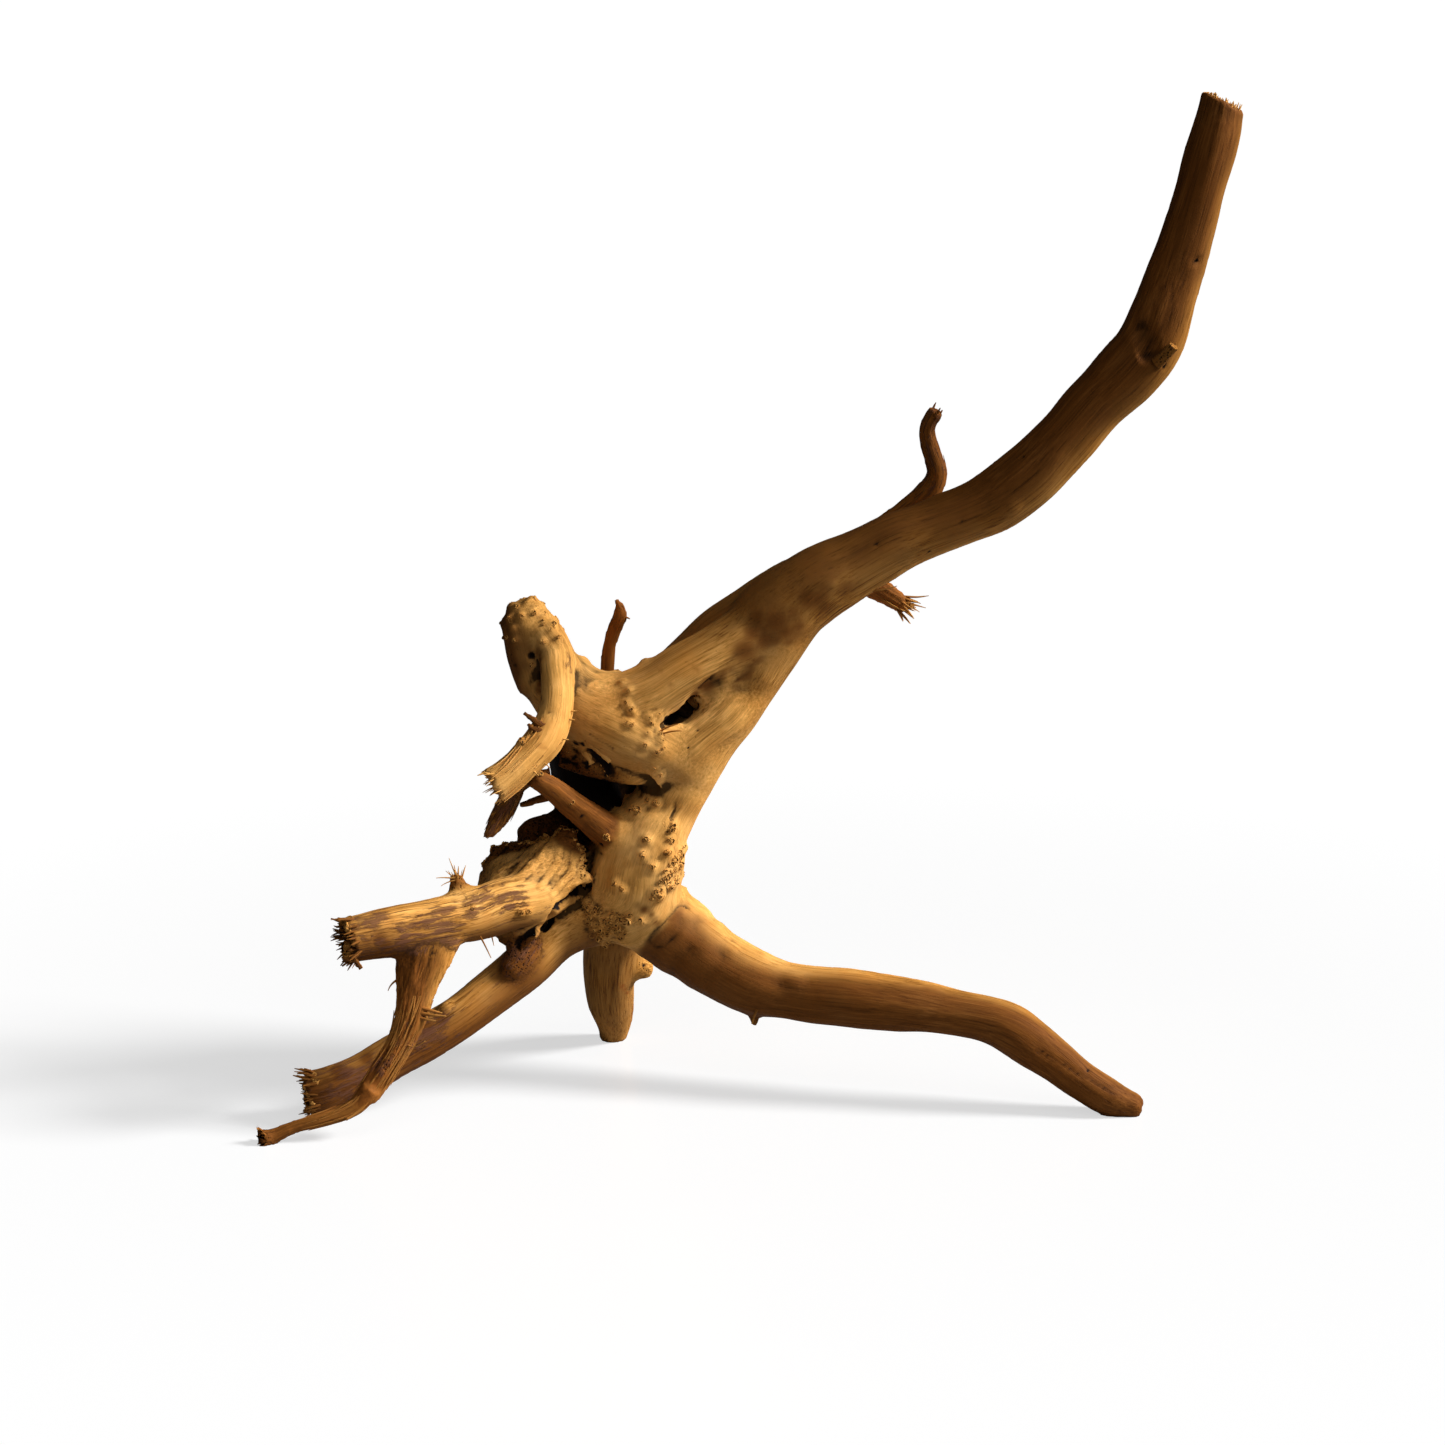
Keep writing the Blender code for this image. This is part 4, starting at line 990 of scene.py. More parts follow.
# Tones that lie in one place: tone, centre, reach and strength
TONE_PLACES = (
    # The first four dark places are painted shade: in the hollow under the saddle and in the gap by the cheek
    (Tone.DARK, (-53, 4, 124), 17, 1.0), (Tone.DARK, (-66, 10, 128), 17, 1.0),
    (Tone.DARK, (-39, 5, 124), 6, 0.8),
    (Tone.DARK, (-21, 5, 154), 7, 0.8), (Tone.PALE, (-34, -6, 111), 13, 1.0),
    (Tone.PALE, (-80, -14, 84), 24, 1.3),
    (Tone.STAIN_AND_SHADE, (-101, 12, 86), 15, 0.9), (Tone.BARK, (-101, 12, 86), 15, 0.9),
    (Tone.CRUMB, (-101, 12, 86), 14, 1.2),
    (Tone.STAIN_AND_SHADE, (-153, -51, 77.5), 15, 1.0), (Tone.CRUMB, (-153, -51, 77.5), 10, 2.2),
    (Tone.DARK, (-155, -51, 76), 8, 0.7),
    (Tone.STAIN_AND_SHADE, (-172, -39, 10.5), 24, 1.0), (Tone.CRUMB, (-172, -39, 10.5), 11, 2.2),
    (Tone.DARK, (-173, -39, 10), 10, 0.7),
    (Tone.STAIN_AND_SHADE, (-187, -66.5, 2), 13, 1.2), (Tone.CRUMB, (-187, -66.5, 2), 7, 1.2),
    (Tone.DARK, (-188, -66, 3), 6, 0.6),
    (Tone.TORN, (-97, -42, 136), 9, 0.6), (Tone.CRUMB, (-98, -43, 135.5), 8, 1.0),
    (Tone.STAIN_AND_SHADE, (181, -1, 396), 14, 1.2), (Tone.CRUMB, (181, -1, 396.5), 9, 0.8),
    (Tone.CRUMB, (-136.5, -55, 30), 10, 1.0), (Tone.STAIN_AND_SHADE, (-136.5, -55, 26), 9, 0.9),
    (Tone.STAIN_AND_SHADE, (-90, -14, 58), 9, 1.0), (Tone.CRUMB, (-90, -14, 58), 8, 0.5),
    (Tone.STAIN_AND_SHADE, (-42, -8, 58), 15, 0.5),
)

# Limbs with grooves along them: width of a groove and its depth
GROOVED = {
    "hook": (2.4, 0.12), "strap": (1.7, 0.5), "thin_tip": (1.6, 0.35), "splinter": (1.8, 0.3),
    "strut": (2.2, 0.25), "torn_stub": (1.6, 0.4), "curl": (1.9, 0.3), "dark_strip": (1.6, 0.4),
    "leader": (3.2, 0.16), "right_arm": (3.2, 0.05), "left_arm": (3.2, 0.05), "saddle": (2.6, 0.04),
    "right_root": (3.2, 0.16), "left_root": (2.8, 0.15), "broken_root": (2.6, 0.08),
    "lower_burl": (3.4, 0.03),
    "side_knob": (1.4, 0.35),
}


# Warts that the photograph shows: radius, height and their pixels
SEEN_WARTS = {
    "buttons": (2.6, 1.5, ((635, 809), (672, 828), (606, 923))),
    "burl": (1.9, 1.3, (
        (647, 840), (642, 855), (652, 867), (614, 884), (622, 890), (607, 838), (656, 803), (647, 800),
        (667, 853), (641, 922))),
    "burl_edge": (1.8, 1.1, (
        (670, 839), (685, 848), (680, 855), (675, 859), (681, 865), (674, 868), (669, 875), (677, 880),
        (672, 886), (664, 883), (660, 890), (655, 893), (661, 897), (652, 899))),
    "chin": (1.7, 1.2, (
        (586, 902), (590, 907), (595, 913), (589, 916), (593, 922), (600, 914), (611, 918), (617, 921),
        (601, 929), (594, 928), (599, 936), (607, 933), (613, 931), (620, 935), (627, 921), (604, 943),
        (617, 928))),
    "saddle": (1.5, 0.9, (
        (595, 686), (627, 703), (631, 709), (634, 714), (627, 723), (632, 724), (622, 682), (629, 691),
        (650, 717), (658, 715), (652, 724), (648, 733), (660, 733), (662, 741), (645, 745), (663, 748),
        (657, 752), (654, 769), (660, 775))),
    "knob": (1.6, 1.1, (
        (516, 607), (527, 604), (536, 606), (534, 612), (545, 614), (548, 609), (559, 618), (552, 630),
        (560, 624), (564, 630), (568, 634), (573, 639), (559, 638), (542, 643), (515, 640), (532, 664),
        (513, 629), (509, 619), (520, 616), (506, 637), (554, 624), (545, 621))),
    "roots": (2.0, 1.3, ((570, 804), (472, 907), (521, 912), (528, 911), (521, 742), (537, 774), (566, 752))),
}

# Where the unseen sides carry warts of the same kind: centre, reach, least distance apart
WART_FIELDS = (
    ((-48, 22, 90), 30, 6.5), ((-85, 14, 192), 13, 5.0), ((-50, 14, 158), 22, 8.0), ((-56, 20, 72), 16, 5.5),
)


@dataclass
class Marks:
    """Marks of the photograph: pits, cracks, streaks of bark, stains and torn places."""

    pit_power: float = 0.8  # how round the dish of a pit is
    # pit_dark and pit_dark_reach: strength and reach of the painted shade in a pit
    pit_dark: float = 1.4
    pit_dark_reach: float = 0.9  # as a share of the pit's

    def lay_all(self, brush: Brush) -> None:
        """Lays every mark on the skin."""
        for tone, reach, strength, lines in STROKES:
            for line in lines:
                brush.stroke(tone, line, reach, strength)
        for reach, height, lines in CUTS:
            for line in lines:
                brush.groove(line, reach, height)
        for pixel, reach, depth in PITS:
            found = SIGHT.spot(brush.tree, pixel)
            if found:
                # Each pit is sunk and painted dark as its shade
                brush.lift(found[0], reach, -depth, self.pit_power)
                brush.paint(Tone.DARK, found[0], reach * self.pit_dark_reach, self.pit_dark)


# Painted lines of the photograph: tone, reach in millimetres, strength and lines of pixels
STROKES = (
    (Tone.BARK, 4.4, 0.95, (
        ((360, 935), (400, 925)), ((420, 918), (470, 900)), ((385, 950), (430, 935), (470, 925)),
        ((430, 945), (480, 932)), ((480, 890), (505, 880)), ((500, 905), (520, 895)),
        ((400, 1030), (430, 1010)), ((410, 1055), (445, 1035)), ((430, 1050), (455, 1030)),
        ((320, 1090), (360, 1075)), ((530, 940), (540, 955)), ((570, 655), (572, 690)),)),
    (Tone.CRUMB, 3.5, 0.6, (
        ((628, 990), (633, 1005), (630, 1030)), ((640, 962), (650, 975)), ((670, 822), (676, 832)),
        ((690, 845), (680, 875), (655, 900)), ((586, 902), (600, 930), (612, 945), (622, 925)),)),
    (Tone.TORN, 3.0, 0.6, (
        ((655, 665), (675, 690)), ((690, 665), (700, 675)), ((525, 750), (550, 745)),)),
    # Partly painted shade: by the hollow's lip, in the crease and on the wrinkles of the right root's crotch;
    # the last line is a stain
    (Tone.STAIN_AND_SHADE, 4.0, 0.75, (
        ((570, 745), (590, 752), (606, 768)), ((640, 905), (660, 925)),
        ((681, 930), (692, 938)), ((660, 945), (680, 955)), ((700, 948), (715, 958)),
        ((1085, 367), (1094, 375)),)),
    # Painted shade in the eye's slit, then a brown painted shadow along its tail
    (Tone.DARK, 2.4, 1.8, (((667, 724), (676, 717), (688, 706), (695, 698)),)),
    (Tone.STAIN_AND_SHADE, 5.0, 1.0, (((690, 704), (706, 688), (725, 672)), ((735, 690), (760, 655)),)),
    # Painted shade in the slits of the hollow under the saddle and in the crack under the collar
    (Tone.DARK, 3.0, 1.5, (((590, 753), (602, 763), (613, 777)), ((563, 763), (576, 768)))),
    (Tone.DARK, 2.6, 1.5, (((590, 884), (573, 897), (557, 908), (544, 927), (520, 942)),)),
    (Tone.STAIN_AND_SHADE, 5.0, 1.0, (
        ((1138, 328), (1147, 343), (1150, 358)), ((505, 952), (518, 962), (528, 972)),
        ((1205, 95), (1248, 115)))),
    # Painted shade, dark and brown, in the slots of the knob's left face and between knob and hook
    (Tone.DARK, 2.4, 0.6, (((511, 655), (515, 664), (520, 675)), ((526, 693), (531, 706)))),
    (Tone.STAIN_AND_SHADE, 4.5, 1.0, (
        ((507, 648), (513, 662), (520, 677)), ((524, 690), (531, 706), (537, 716)),
        ((539, 650), (541, 680), (541, 705)), ((503, 625), (506, 645)))),
    (Tone.STAIN_AND_SHADE, 9.0, 1.0, (
        ((315, 1105), (370, 1085), (400, 1070)), ((330, 1085), (400, 1050), (445, 1020)),
        ((400, 958), (405, 1000)), ((350, 950), (400, 948)))),
    (Tone.BARK, 8.0, 1.4, (
        ((345, 955), (400, 945), (470, 935)), ((400, 930), (470, 912), (520, 893)),
        ((330, 1090), (400, 1055), (450, 1012)), ((350, 925), (380, 918)))),
    (Tone.STAIN_AND_SHADE, 12.0, 0.85, (((765, 610), (800, 640)), ((745, 655), (800, 600), (850, 585)))),
    # Painted shade in cracks, in the hollow under the saddle and along the shaded edges of the collar and the
    # root ends
    (Tone.DARK, 2.2, 1.2, (
        ((345, 925), (340, 945), (352, 962)), ((583, 883), (560, 905), (540, 930)), ((585, 850), (588, 875)),
        ((482, 870), (484, 850), (495, 843)), ((575, 742), (590, 748)), ((593, 752), (603, 768), (606, 784)),
        ((560, 762), (576, 757), (592, 770)),
        ((303, 1075), (302, 1105)),)),
    (Tone.TORN, 3.0, 0.9, (
        ((582, 830), (592, 850), (592, 880)), ((620, 985), (634, 1000), (630, 1030)),
        ((575, 790), (600, 812)),)),
)

# Cut or raised lines of the photograph: reach, height (negative is a furrow) and lines of pixels
CUTS = (
    (6.0, -1.5, (((684, 712), (698, 699), (714, 684)),)),
    (2.8, -3.6, (((672, 720), (683, 711), (694, 700)),)),
    (2.8, -2.2, (((590, 753), (602, 763), (613, 777)), ((563, 763), (576, 768)))),
    (2.0, -2.6, (((664, 726), (676, 718), (690, 708), (699, 699)),)),
    (2.6, -3.0, (((590, 884), (573, 897), (557, 908), (544, 927), (515, 945)),)),
    (5.0, -2.2, (((1140, 328), (1147, 343), (1150, 356)),)),
    (3.6, 1.3, (((661, 938), (672, 926), (684, 913)),)),
    (1.0, -0.45, (
        ((870, 925), (930, 932)), ((1060, 1062), (1110, 1090)),
        ((1040, 1050), (1085, 1080)), ((850, 925), (900, 918)), ((700, 690), (740, 650)))),
    (1.2, -0.5, (
        ((678, 800), (670, 822), (666, 835)), ((585, 742), (600, 752)), ((548, 712), (556, 714)),
        ((590, 735), (615, 750)),)),
    (1.6, 0.6, (
        ((500, 870), (520, 860), (528, 850)), ((520, 880), (540, 860), (545, 845)),
        ((540, 888), (558, 862), (560, 845)), ((552, 895), (572, 872), (575, 850)),)),
)

# Pits and holes of the photograph: pixel, reach and depth in millimetres
PITS = (
    ((1197, 260), 1.6, 1.2), ((1088, 1070), 1.3, 0.8), ((1094, 1066), 1.1, 0.7), ((531, 656), 2.0, 1.4),
    ((581, 817), 1.2, 0.8), ((601, 845), 1.3, 0.9), ((1165, 366), 1.2, 0.8), ((645, 965), 1.2, 0.8),
    ((1023, 458), 1.0, 0.5), ((942, 525), 0.9, 0.4), ((961, 522), 0.9, 0.4), ((848, 565), 0.9, 0.4),
    ((877, 545), 0.9, 0.4), ((930, 551), 0.9, 0.4), ((909, 561), 0.9, 0.4), ((697, 730), 0.8, 0.4),
    ((688, 748), 0.8, 0.4), ((690, 755), 0.8, 0.4),
)


@dataclass(frozen=True)
class Shred:
    """A loose fibre or flake: the pixels that it runs through, from its root on the skin to its free tip."""

    pixels: tuple[Pixel, ...]
    width: float = 0.5  # half of it, in millimetres, at the root
    tip: float = 0.3  # share of the width that is left at the tip
    lean: float = 0.2  # how far it comes towards the viewer, as a share of its length
    flat: bool = False

    def limb(self, tree: BVHTree, sunk: float = 0.6) -> Limb | None:
        """Its middle line in space.

        Args:
            tree: The skin that it grows from.
            sunk: How deep its root lies in the skin.

        Returns:
            The line as a limb, or None where no skin lies behind its root.
        """
        found = SIGHT.spot(tree, self.pixels[0])
        if found is None:
            return None
        place, normal = found
        stations = []
        root = place - normal * sunk
        gone = 0.0
        for k, pixel in enumerate(self.pixels):
            if k:
                gone += math.dist(pixel, self.pixels[k - 1]) * PIXEL
            at = SIGHT.at(pixel, root.y - gone * self.lean) if k else root
            share = k / (len(self.pixels) - 1)
            stations.append((*at, self.width * (1 + (self.tip - 1) * share)))
        return Limb("shred", tuple(stations))


@dataclass(frozen=True)
class Tuft:
    """The frayed end of a broken limb: many short fibres, placed by a seeded rule."""

    limb: str
    count: int
    length: float
    width: float = 0.35
    spread: float = 0.35
    back: float = 1.5  # how far before the limb's end the fibres begin
    filled: float = 0.85  # share of the limb's radius that they cover
    wild: float = 0.16  # how far the fibres' directions differ
    bend: float = 0.12
    taper: tuple[tuple[float, float], ...] = ((0, 1), (0.4, 0.9), (0.75, 0.65), (1.0, 0.25))

    def limbs(self, seed: int) -> list[Limb]:
        """The fibres' middle lines."""
        draw = np.random.default_rng(seed)
        middle, radii, ways = BY_NAME[self.limb].run()
        across, deep = side_axes(ways[-1:])
        made = []
        for _ in range(self.count):
            turn = draw.uniform(0, 2 * math.pi)
            out = math.sqrt(draw.uniform(0.05, 1)) * self.filled
            side = math.cos(turn) * across[0] + math.sin(turn) * deep[0] * BY_NAME[self.limb].thickness
            fall = BY_NAME[self.limb].fall(math.cos(turn) * radii[-1] * out)
            start = middle[-1] + side * radii[-1] * out - ways[-1] * (self.back + fall)
            way = ways[-1] + side * self.spread * out + draw.normal(0, self.wild, 3)
            bend = draw.normal(0, self.bend, 3)
            length = self.length * draw.uniform(0.45, 1.0)
            width = self.width * draw.uniform(0.6, 1.3)
            stations = []
            for share, thin in self.taper:
                place = start + (way + bend * share) * (length + self.back) * share
                stations.append((*place, width * thin))
            made.append(Limb("fibre", tuple(stations)))
        return made


@dataclass(frozen=True)
class Combed:
    """Loose fibres that lie along a torn limb and lift off it at both ends."""

    limb: str
    count: int
    length: float = 0.4  # as a share of the limb
    width: float = 0.4
    lift: float = 0.9
    begin: float = 0.0
    end: float = 1.0
    sunk: float = 0.15
    drift: float = 0.35  # how far round the limb a fibre winds, in radians
    thin_end: float = 0.3  # of the width, at both ends of a fibre
    thick_middle: float = 2.8
    steps: int = 5

    def limbs(self, seed: int) -> list[Limb]:
        """The fibres' middle lines."""
        draw = np.random.default_rng(seed)
        carrier = BY_NAME[self.limb]
        middle, radii, ways = carrier.run()
        across, deep = side_axes(ways)
        made = []
        for _ in range(self.count):
            turn, drift = draw.uniform(0, 2 * math.pi), draw.normal(0, self.drift)
            length = self.length * draw.uniform(0.5, 1.0)
            begin = draw.uniform(self.begin, max(self.begin, self.end - length))
            width = self.width * draw.uniform(0.6, 1.3)
            lifts = draw.uniform(0, self.lift, 2)
            stations = []
            for share in (k / self.steps for k in range(self.steps + 1)):
                k = round(min(begin + length * share, 1) * (len(middle) - 1))
                out = radii[k] - self.sunk + lifts[0] * (1 - share) ** 4 + lifts[1] * share**4
                angle = turn + drift * share
                side = math.cos(angle) * across[k] + math.sin(angle) * deep[k] * carrier.thickness
                thin = self.thin_end + self.thick_middle * share * (1 - share)
                stations.append((*(middle[k] + side * out), width * thin))
            made.append(Limb("fibre", tuple(stations)))
        return made


@dataclass
class Frays:
    """Everything that stands off the skin: fibres, thorns, hairs, flakes and frayed ends."""

    flake_thickness: float = 0.45
    flake_steps: int = 14
    flake_lanes: int = 5
    flake_curl: float = 0.35
    flake_ragged: float = 0.5
    flake_waves: tuple[float, float] = (1.3, 4.0)  # of a flake's ragged edge, across it and along it
    piece_shift: float = 9.7  # sets the grain of one fibre apart from the next one's

    def build(self, root: bpy.types.Object, material: bpy.types.Material) -> None:
        """Makes each group of loose parts as a piece of its own.

        Args:
            root: The finished skin that they grow from.
            material: The wood.
        """
        skin = Skin(root.data)
        skin.points /= MM
        tree = skin.tree()
        for seed, (name, tones, parts) in enumerate(FRAYS):
            strands: list[Limb] = []
            flakes: list[Limb] = []
            for part in parts:
                if isinstance(part, (Tuft, Combed)):
                    strands += part.limbs(seed)
                else:
                    limb = part.limb(tree)
                    if limb:
                        (flakes if part.flat else strands).append(limb)
            self._piece(name, tones, strands, flakes, seed, material)

    def _piece(self, name: str, tones: dict, strands: list[Limb], flakes: list[Limb], seed: int,
               material: bpy.types.Material) -> None:
        """Joins a group's strands and flakes into one dressed piece."""
        parts = [self._strands(name, strands)] if strands else []
        parts += [self._flake(name, limb, seed * 10 + k) for k, limb in enumerate(flakes)]
        bpy.ops.object.select_all(action="DESELECT")
        for part in parts:
            part.select_set(True)
        bpy.context.view_layer.objects.active = parts[0]
        if len(parts) > 1:
            bpy.ops.object.join()
        piece = bpy.context.view_layer.objects.active
        piece.name = name
        skin = Skin(piece.data)
        grain = Grain(skin.points, tuple(strands + flakes))
        skin.keep("grain", (grain.local + grain.limb[:, None] * self.piece_shift) * (1, 1, 1 / GRAIN_STRETCH))
        skin.keep("fade", np.ones(len(skin.points)))
        for tone in Tone:
            start, end = tones.get(tone, (0.5, 0.5) if tone in (Tone.HOLLOW, Tone.VALLEY) else (0.0, 0.0))
            skin.keep(tone.value, start + (end - start) * grain.reach)
        skin.seat()
        piece.data.shade_smooth()
        Bench.finish(piece, material)

    def _strands(self, name: str, limbs: list[Limb]) -> bpy.types.Object:
        """Round tapering fibres: one bevelled curve, turned into a mesh."""
        curve = bpy.data.curves.new(name, "CURVE")
        curve.dimensions = "3D"
        curve.bevel_depth = 1.0
        curve.bevel_resolution = 1
        curve.resolution_u = 4
        curve.use_fill_caps = True
        for limb in limbs:
            spline = curve.splines.new("NURBS")
            spline.points.add(len(limb.stations) - 1)
            for point, (x, y, z, radius) in zip(spline.points, limb.stations):
                point.co = (x, y, z, 1)
                point.radius = radius
            spline.order_u = 3
            spline.use_endpoint_u = True
        piece = Bench.place(name, curve)
        Bench.take(piece)
        bpy.ops.object.convert(target="MESH")
        return bpy.context.view_layer.objects.active

    def _flake(self, name: str, limb: Limb, seed: int) -> bpy.types.Object:
        """A thin ragged scale of wood that curls a little, along the limb's line."""
        bpy.ops.object.select_all(action="DESELECT")
        bpy.ops.mesh.primitive_grid_add(
            x_subdivisions=self.flake_lanes, y_subdivisions=self.flake_steps, size=2)
        flake = bpy.context.active_object
        flake.name = name
        middle, radii, ways = limb.run(0.6)
        across, deep = side_axes(ways)
        grid = np.array([v.co for v in flake.data.vertices])
        at = (grid[:, 1] + 1) / 2 * (len(middle) - 1)
        low = np.minimum(at.astype(int), len(middle) - 2)
        part = (at - low)[:, None]
        centre = middle[low] * (1 - part) + middle[low + 1] * part
        edge = smooth_noise(grid * (*self.flake_waves, 0), seed)
        width = radii[low][:, None] * (1 + self.flake_ragged * edge[:, None])
        curl = (grid[:, :1] ** 2) * radii[low][:, None] * self.flake_curl
        points = centre + across[low] * grid[:, :1] * width + deep[low] * curl
        flake.data.vertices.foreach_set("co", points.ravel())
        thick = flake.modifiers.new("thickness", "SOLIDIFY")
        thick.thickness = self.flake_thickness
        thick.offset = 0
        Bench.take(flake)
        bpy.ops.object.modifier_apply(modifier=thick.name)
        return flake


@dataclass(frozen=True)
class Burst:
    """How the nodules of one kind of wart look and how they are strewn."""

    count: int  # nodules a wart
    spread: float  # millimetres round the wart's middle
    size: float = 0.55
    tall: float = 1.0


@dataclass
class Nodules:
    """The burst nodules of the warts: one small pitted bump, copied all over them."""

    segments: int = 8
    rings: int = 7
    rim: float = 0.3  # height, as a share of the size, above which the top falls in as a pit
    pit: float = 1.7
    # brown and near-black painted shade inside a nodule's pit
    pit_brown_shade: float = 1.17
    pit_dark: float = 0.855
    lean: float = 0.3
    longs: tuple[float, float] = (0.8, 1.7)  # the least and the most of length next to width
    sizes: tuple[float, float] = (0.6, 1.35)
    lump_size: float = 2.2
    lump: float = 0.22
    lump_shift: float = 3.1  # sets the lumps of one nodule apart from the next one's
    end_ring: float = 0.8  # where the nodules of a broken end lie, as a share of its radius
    end_places: int = 14
    seed: int = 71

    def build(self, root: bpy.types.Object, material: bpy.types.Material, unseen: list[Vector]) -> None:
        """Strews each kind of wart with its nodules.

        Args:
            root: The finished skin that they sit on.
            material: The wood.
            unseen: Middles of the warts that the photograph doesn't show.
        """
        skin = Skin(root.data)
        skin.points /= MM
        tree = skin.tree()
        bump, faces, inside = self._bump()
        draw = np.random.default_rng(self.seed)
        for name, burst in BURSTS.items():
            places = []
            for centre in self._centres(name, tree, unseen):
                for _ in range(draw.poisson(burst.count)):
                    near = centre + Vector(draw.normal(0, burst.spread / 2, 3))
                    places.append(tree.find_nearest(near)[:2])
            points = []
            for place, normal in places:
                lean = (normal + Vector(draw.normal(0, self.lean, 3))).normalized()
                turn = lean.to_track_quat("Z", "Y").to_matrix()
                twist = draw.uniform(0, 2 * math.pi)
                long = draw.uniform(*self.longs)
                size = burst.size * draw.uniform(*self.sizes)
                across = np.array([[math.cos(twist), -math.sin(twist)], [math.sin(twist), math.cos(twist)]])
                shape = bump.copy()
                shape[:, :2] = (shape[:, :2] * (long, 1)) @ across.T
                shape *= np.array([1, 1, burst.tall]) * size
                lumps = smooth_noise(shape * self.lump_size + len(points) * self.lump_shift, 9)
                shape += lumps[:, None] * size * self.lump
                points.append(shape @ np.array(turn).T + np.array(place))
            self._piece(f"{name}_nodules", np.array(points), faces, inside, material)

    def _centres(self, name: str, tree: BVHTree, unseen: list[Vector]) -> list[Vector]:
        """The middles of one kind of wart."""
        if name == "back":
            return unseen
        if name == "collar":
            lip = [Vector(p) for p in COLLAR_LIP[:COLLAR_CRUMBLY]]
            return [a.lerp(b, share) for a, b in zip(lip, lip[1:]) for share in (0, 0.25, 0.5, 0.75)]
        if name in ("broken_root", "left_root"):
            x, y, z, radius = BY_NAME[name].stations[-1]
            turns = np.linspace(0, 2 * math.pi, self.end_places, endpoint=False)
            out = radius * self.end_ring
            return [Vector((x, y + math.cos(t) * out, z + math.sin(t) * out)) for t in turns]
        found = [SIGHT.spot(tree, pixel) for pixel in SEEN_WARTS[name][2]]
        return [spot[0] for spot in found if spot]

    def _bump(self) -> tuple[np.ndarray, list, np.ndarray]:
        """One nodule: a ball whose top has fallen in.

        Returns:
            Its points, its faces, and for each point how far it lies inside the pit.
        """
        bpy.ops.object.select_all(action="DESELECT")
        bpy.ops.mesh.primitive_uv_sphere_add(segments=self.segments, ring_count=self.rings, radius=1)
        ball = bpy.context.active_object
        points = np.array([v.co for v in ball.data.vertices])
        faces = sorted(tuple(p.vertices) for p in ball.data.polygons)  # their own order differs from run to run
        inside = np.clip((points[:, 2] - self.rim) / (1 - self.rim), 0, 1)
        points[:, 2] -= inside * self.pit * (1 - self.rim)
        bpy.data.objects.remove(ball)
        return points, faces, inside

    def _piece(self, name: str, points: np.ndarray, faces: list, inside: np.ndarray,
               material: bpy.types.Material) -> None:
        """Makes one mesh of all the nodules of a kind."""
        count, each = points.shape[:2]
        mesh = bpy.data.meshes.new(name)
        every = [tuple(k * each + v for v in face) for k in range(count) for face in faces]
        flat = points.reshape(-1, 3)
        mesh.from_pydata(flat.tolist(), [], every)
        piece = Bench.place(name, mesh)
        skin = Skin(mesh)
        tones = {Tone.PALE: 0.7, Tone.CRUMB: 0.2, Tone.HOLLOW: 0.5, Tone.VALLEY: 0.5}
        for tone in Tone:
            skin.keep(tone.value, np.full(len(flat), tones.get(tone, 0.0)))
        # The pits are painted brown and near-black as their shade
        pits = np.tile(inside, count)
        for tone, share in ((Tone.STAIN_AND_SHADE, self.pit_brown_shade), (Tone.DARK, self.pit_dark)):
            mesh.attributes[tone.value].data.foreach_set("value", (pits * share).astype(np.float32))
        skin.keep("grain", flat)
        skin.keep("fade", np.zeros(len(flat)))
        skin.points = flat
        skin.seat()
        mesh.shade_smooth()
        Bench.finish(piece, material)


# How the nodules of each kind of wart are strewn. The first kinds are those of the seen warts.
BURSTS = {
    "buttons": Burst(12, 2.2, 0.85), "burl": Burst(4, 1.1, 0.85), "burl_edge": Burst(5, 1.9, 0.9, 1.4),
    "chin": Burst(8, 2.3, 1.0, 1.5), "saddle": Burst(2, 0.6, 0.55), "knob": Burst(3, 1.1, 0.6, 1.3),
    "roots": Burst(4, 1.2, 0.75), "collar": Burst(2, 1.3, 0.75, 1.2), "broken_root": Burst(9, 2.4, 0.7, 1.6),
    "left_root": Burst(9, 2.4, 0.7, 1.6), "back": Burst(4, 1.3, 0.55),
}

PIXEL = 0.4  # millimetres that a pixel of the photograph stands for at the crown

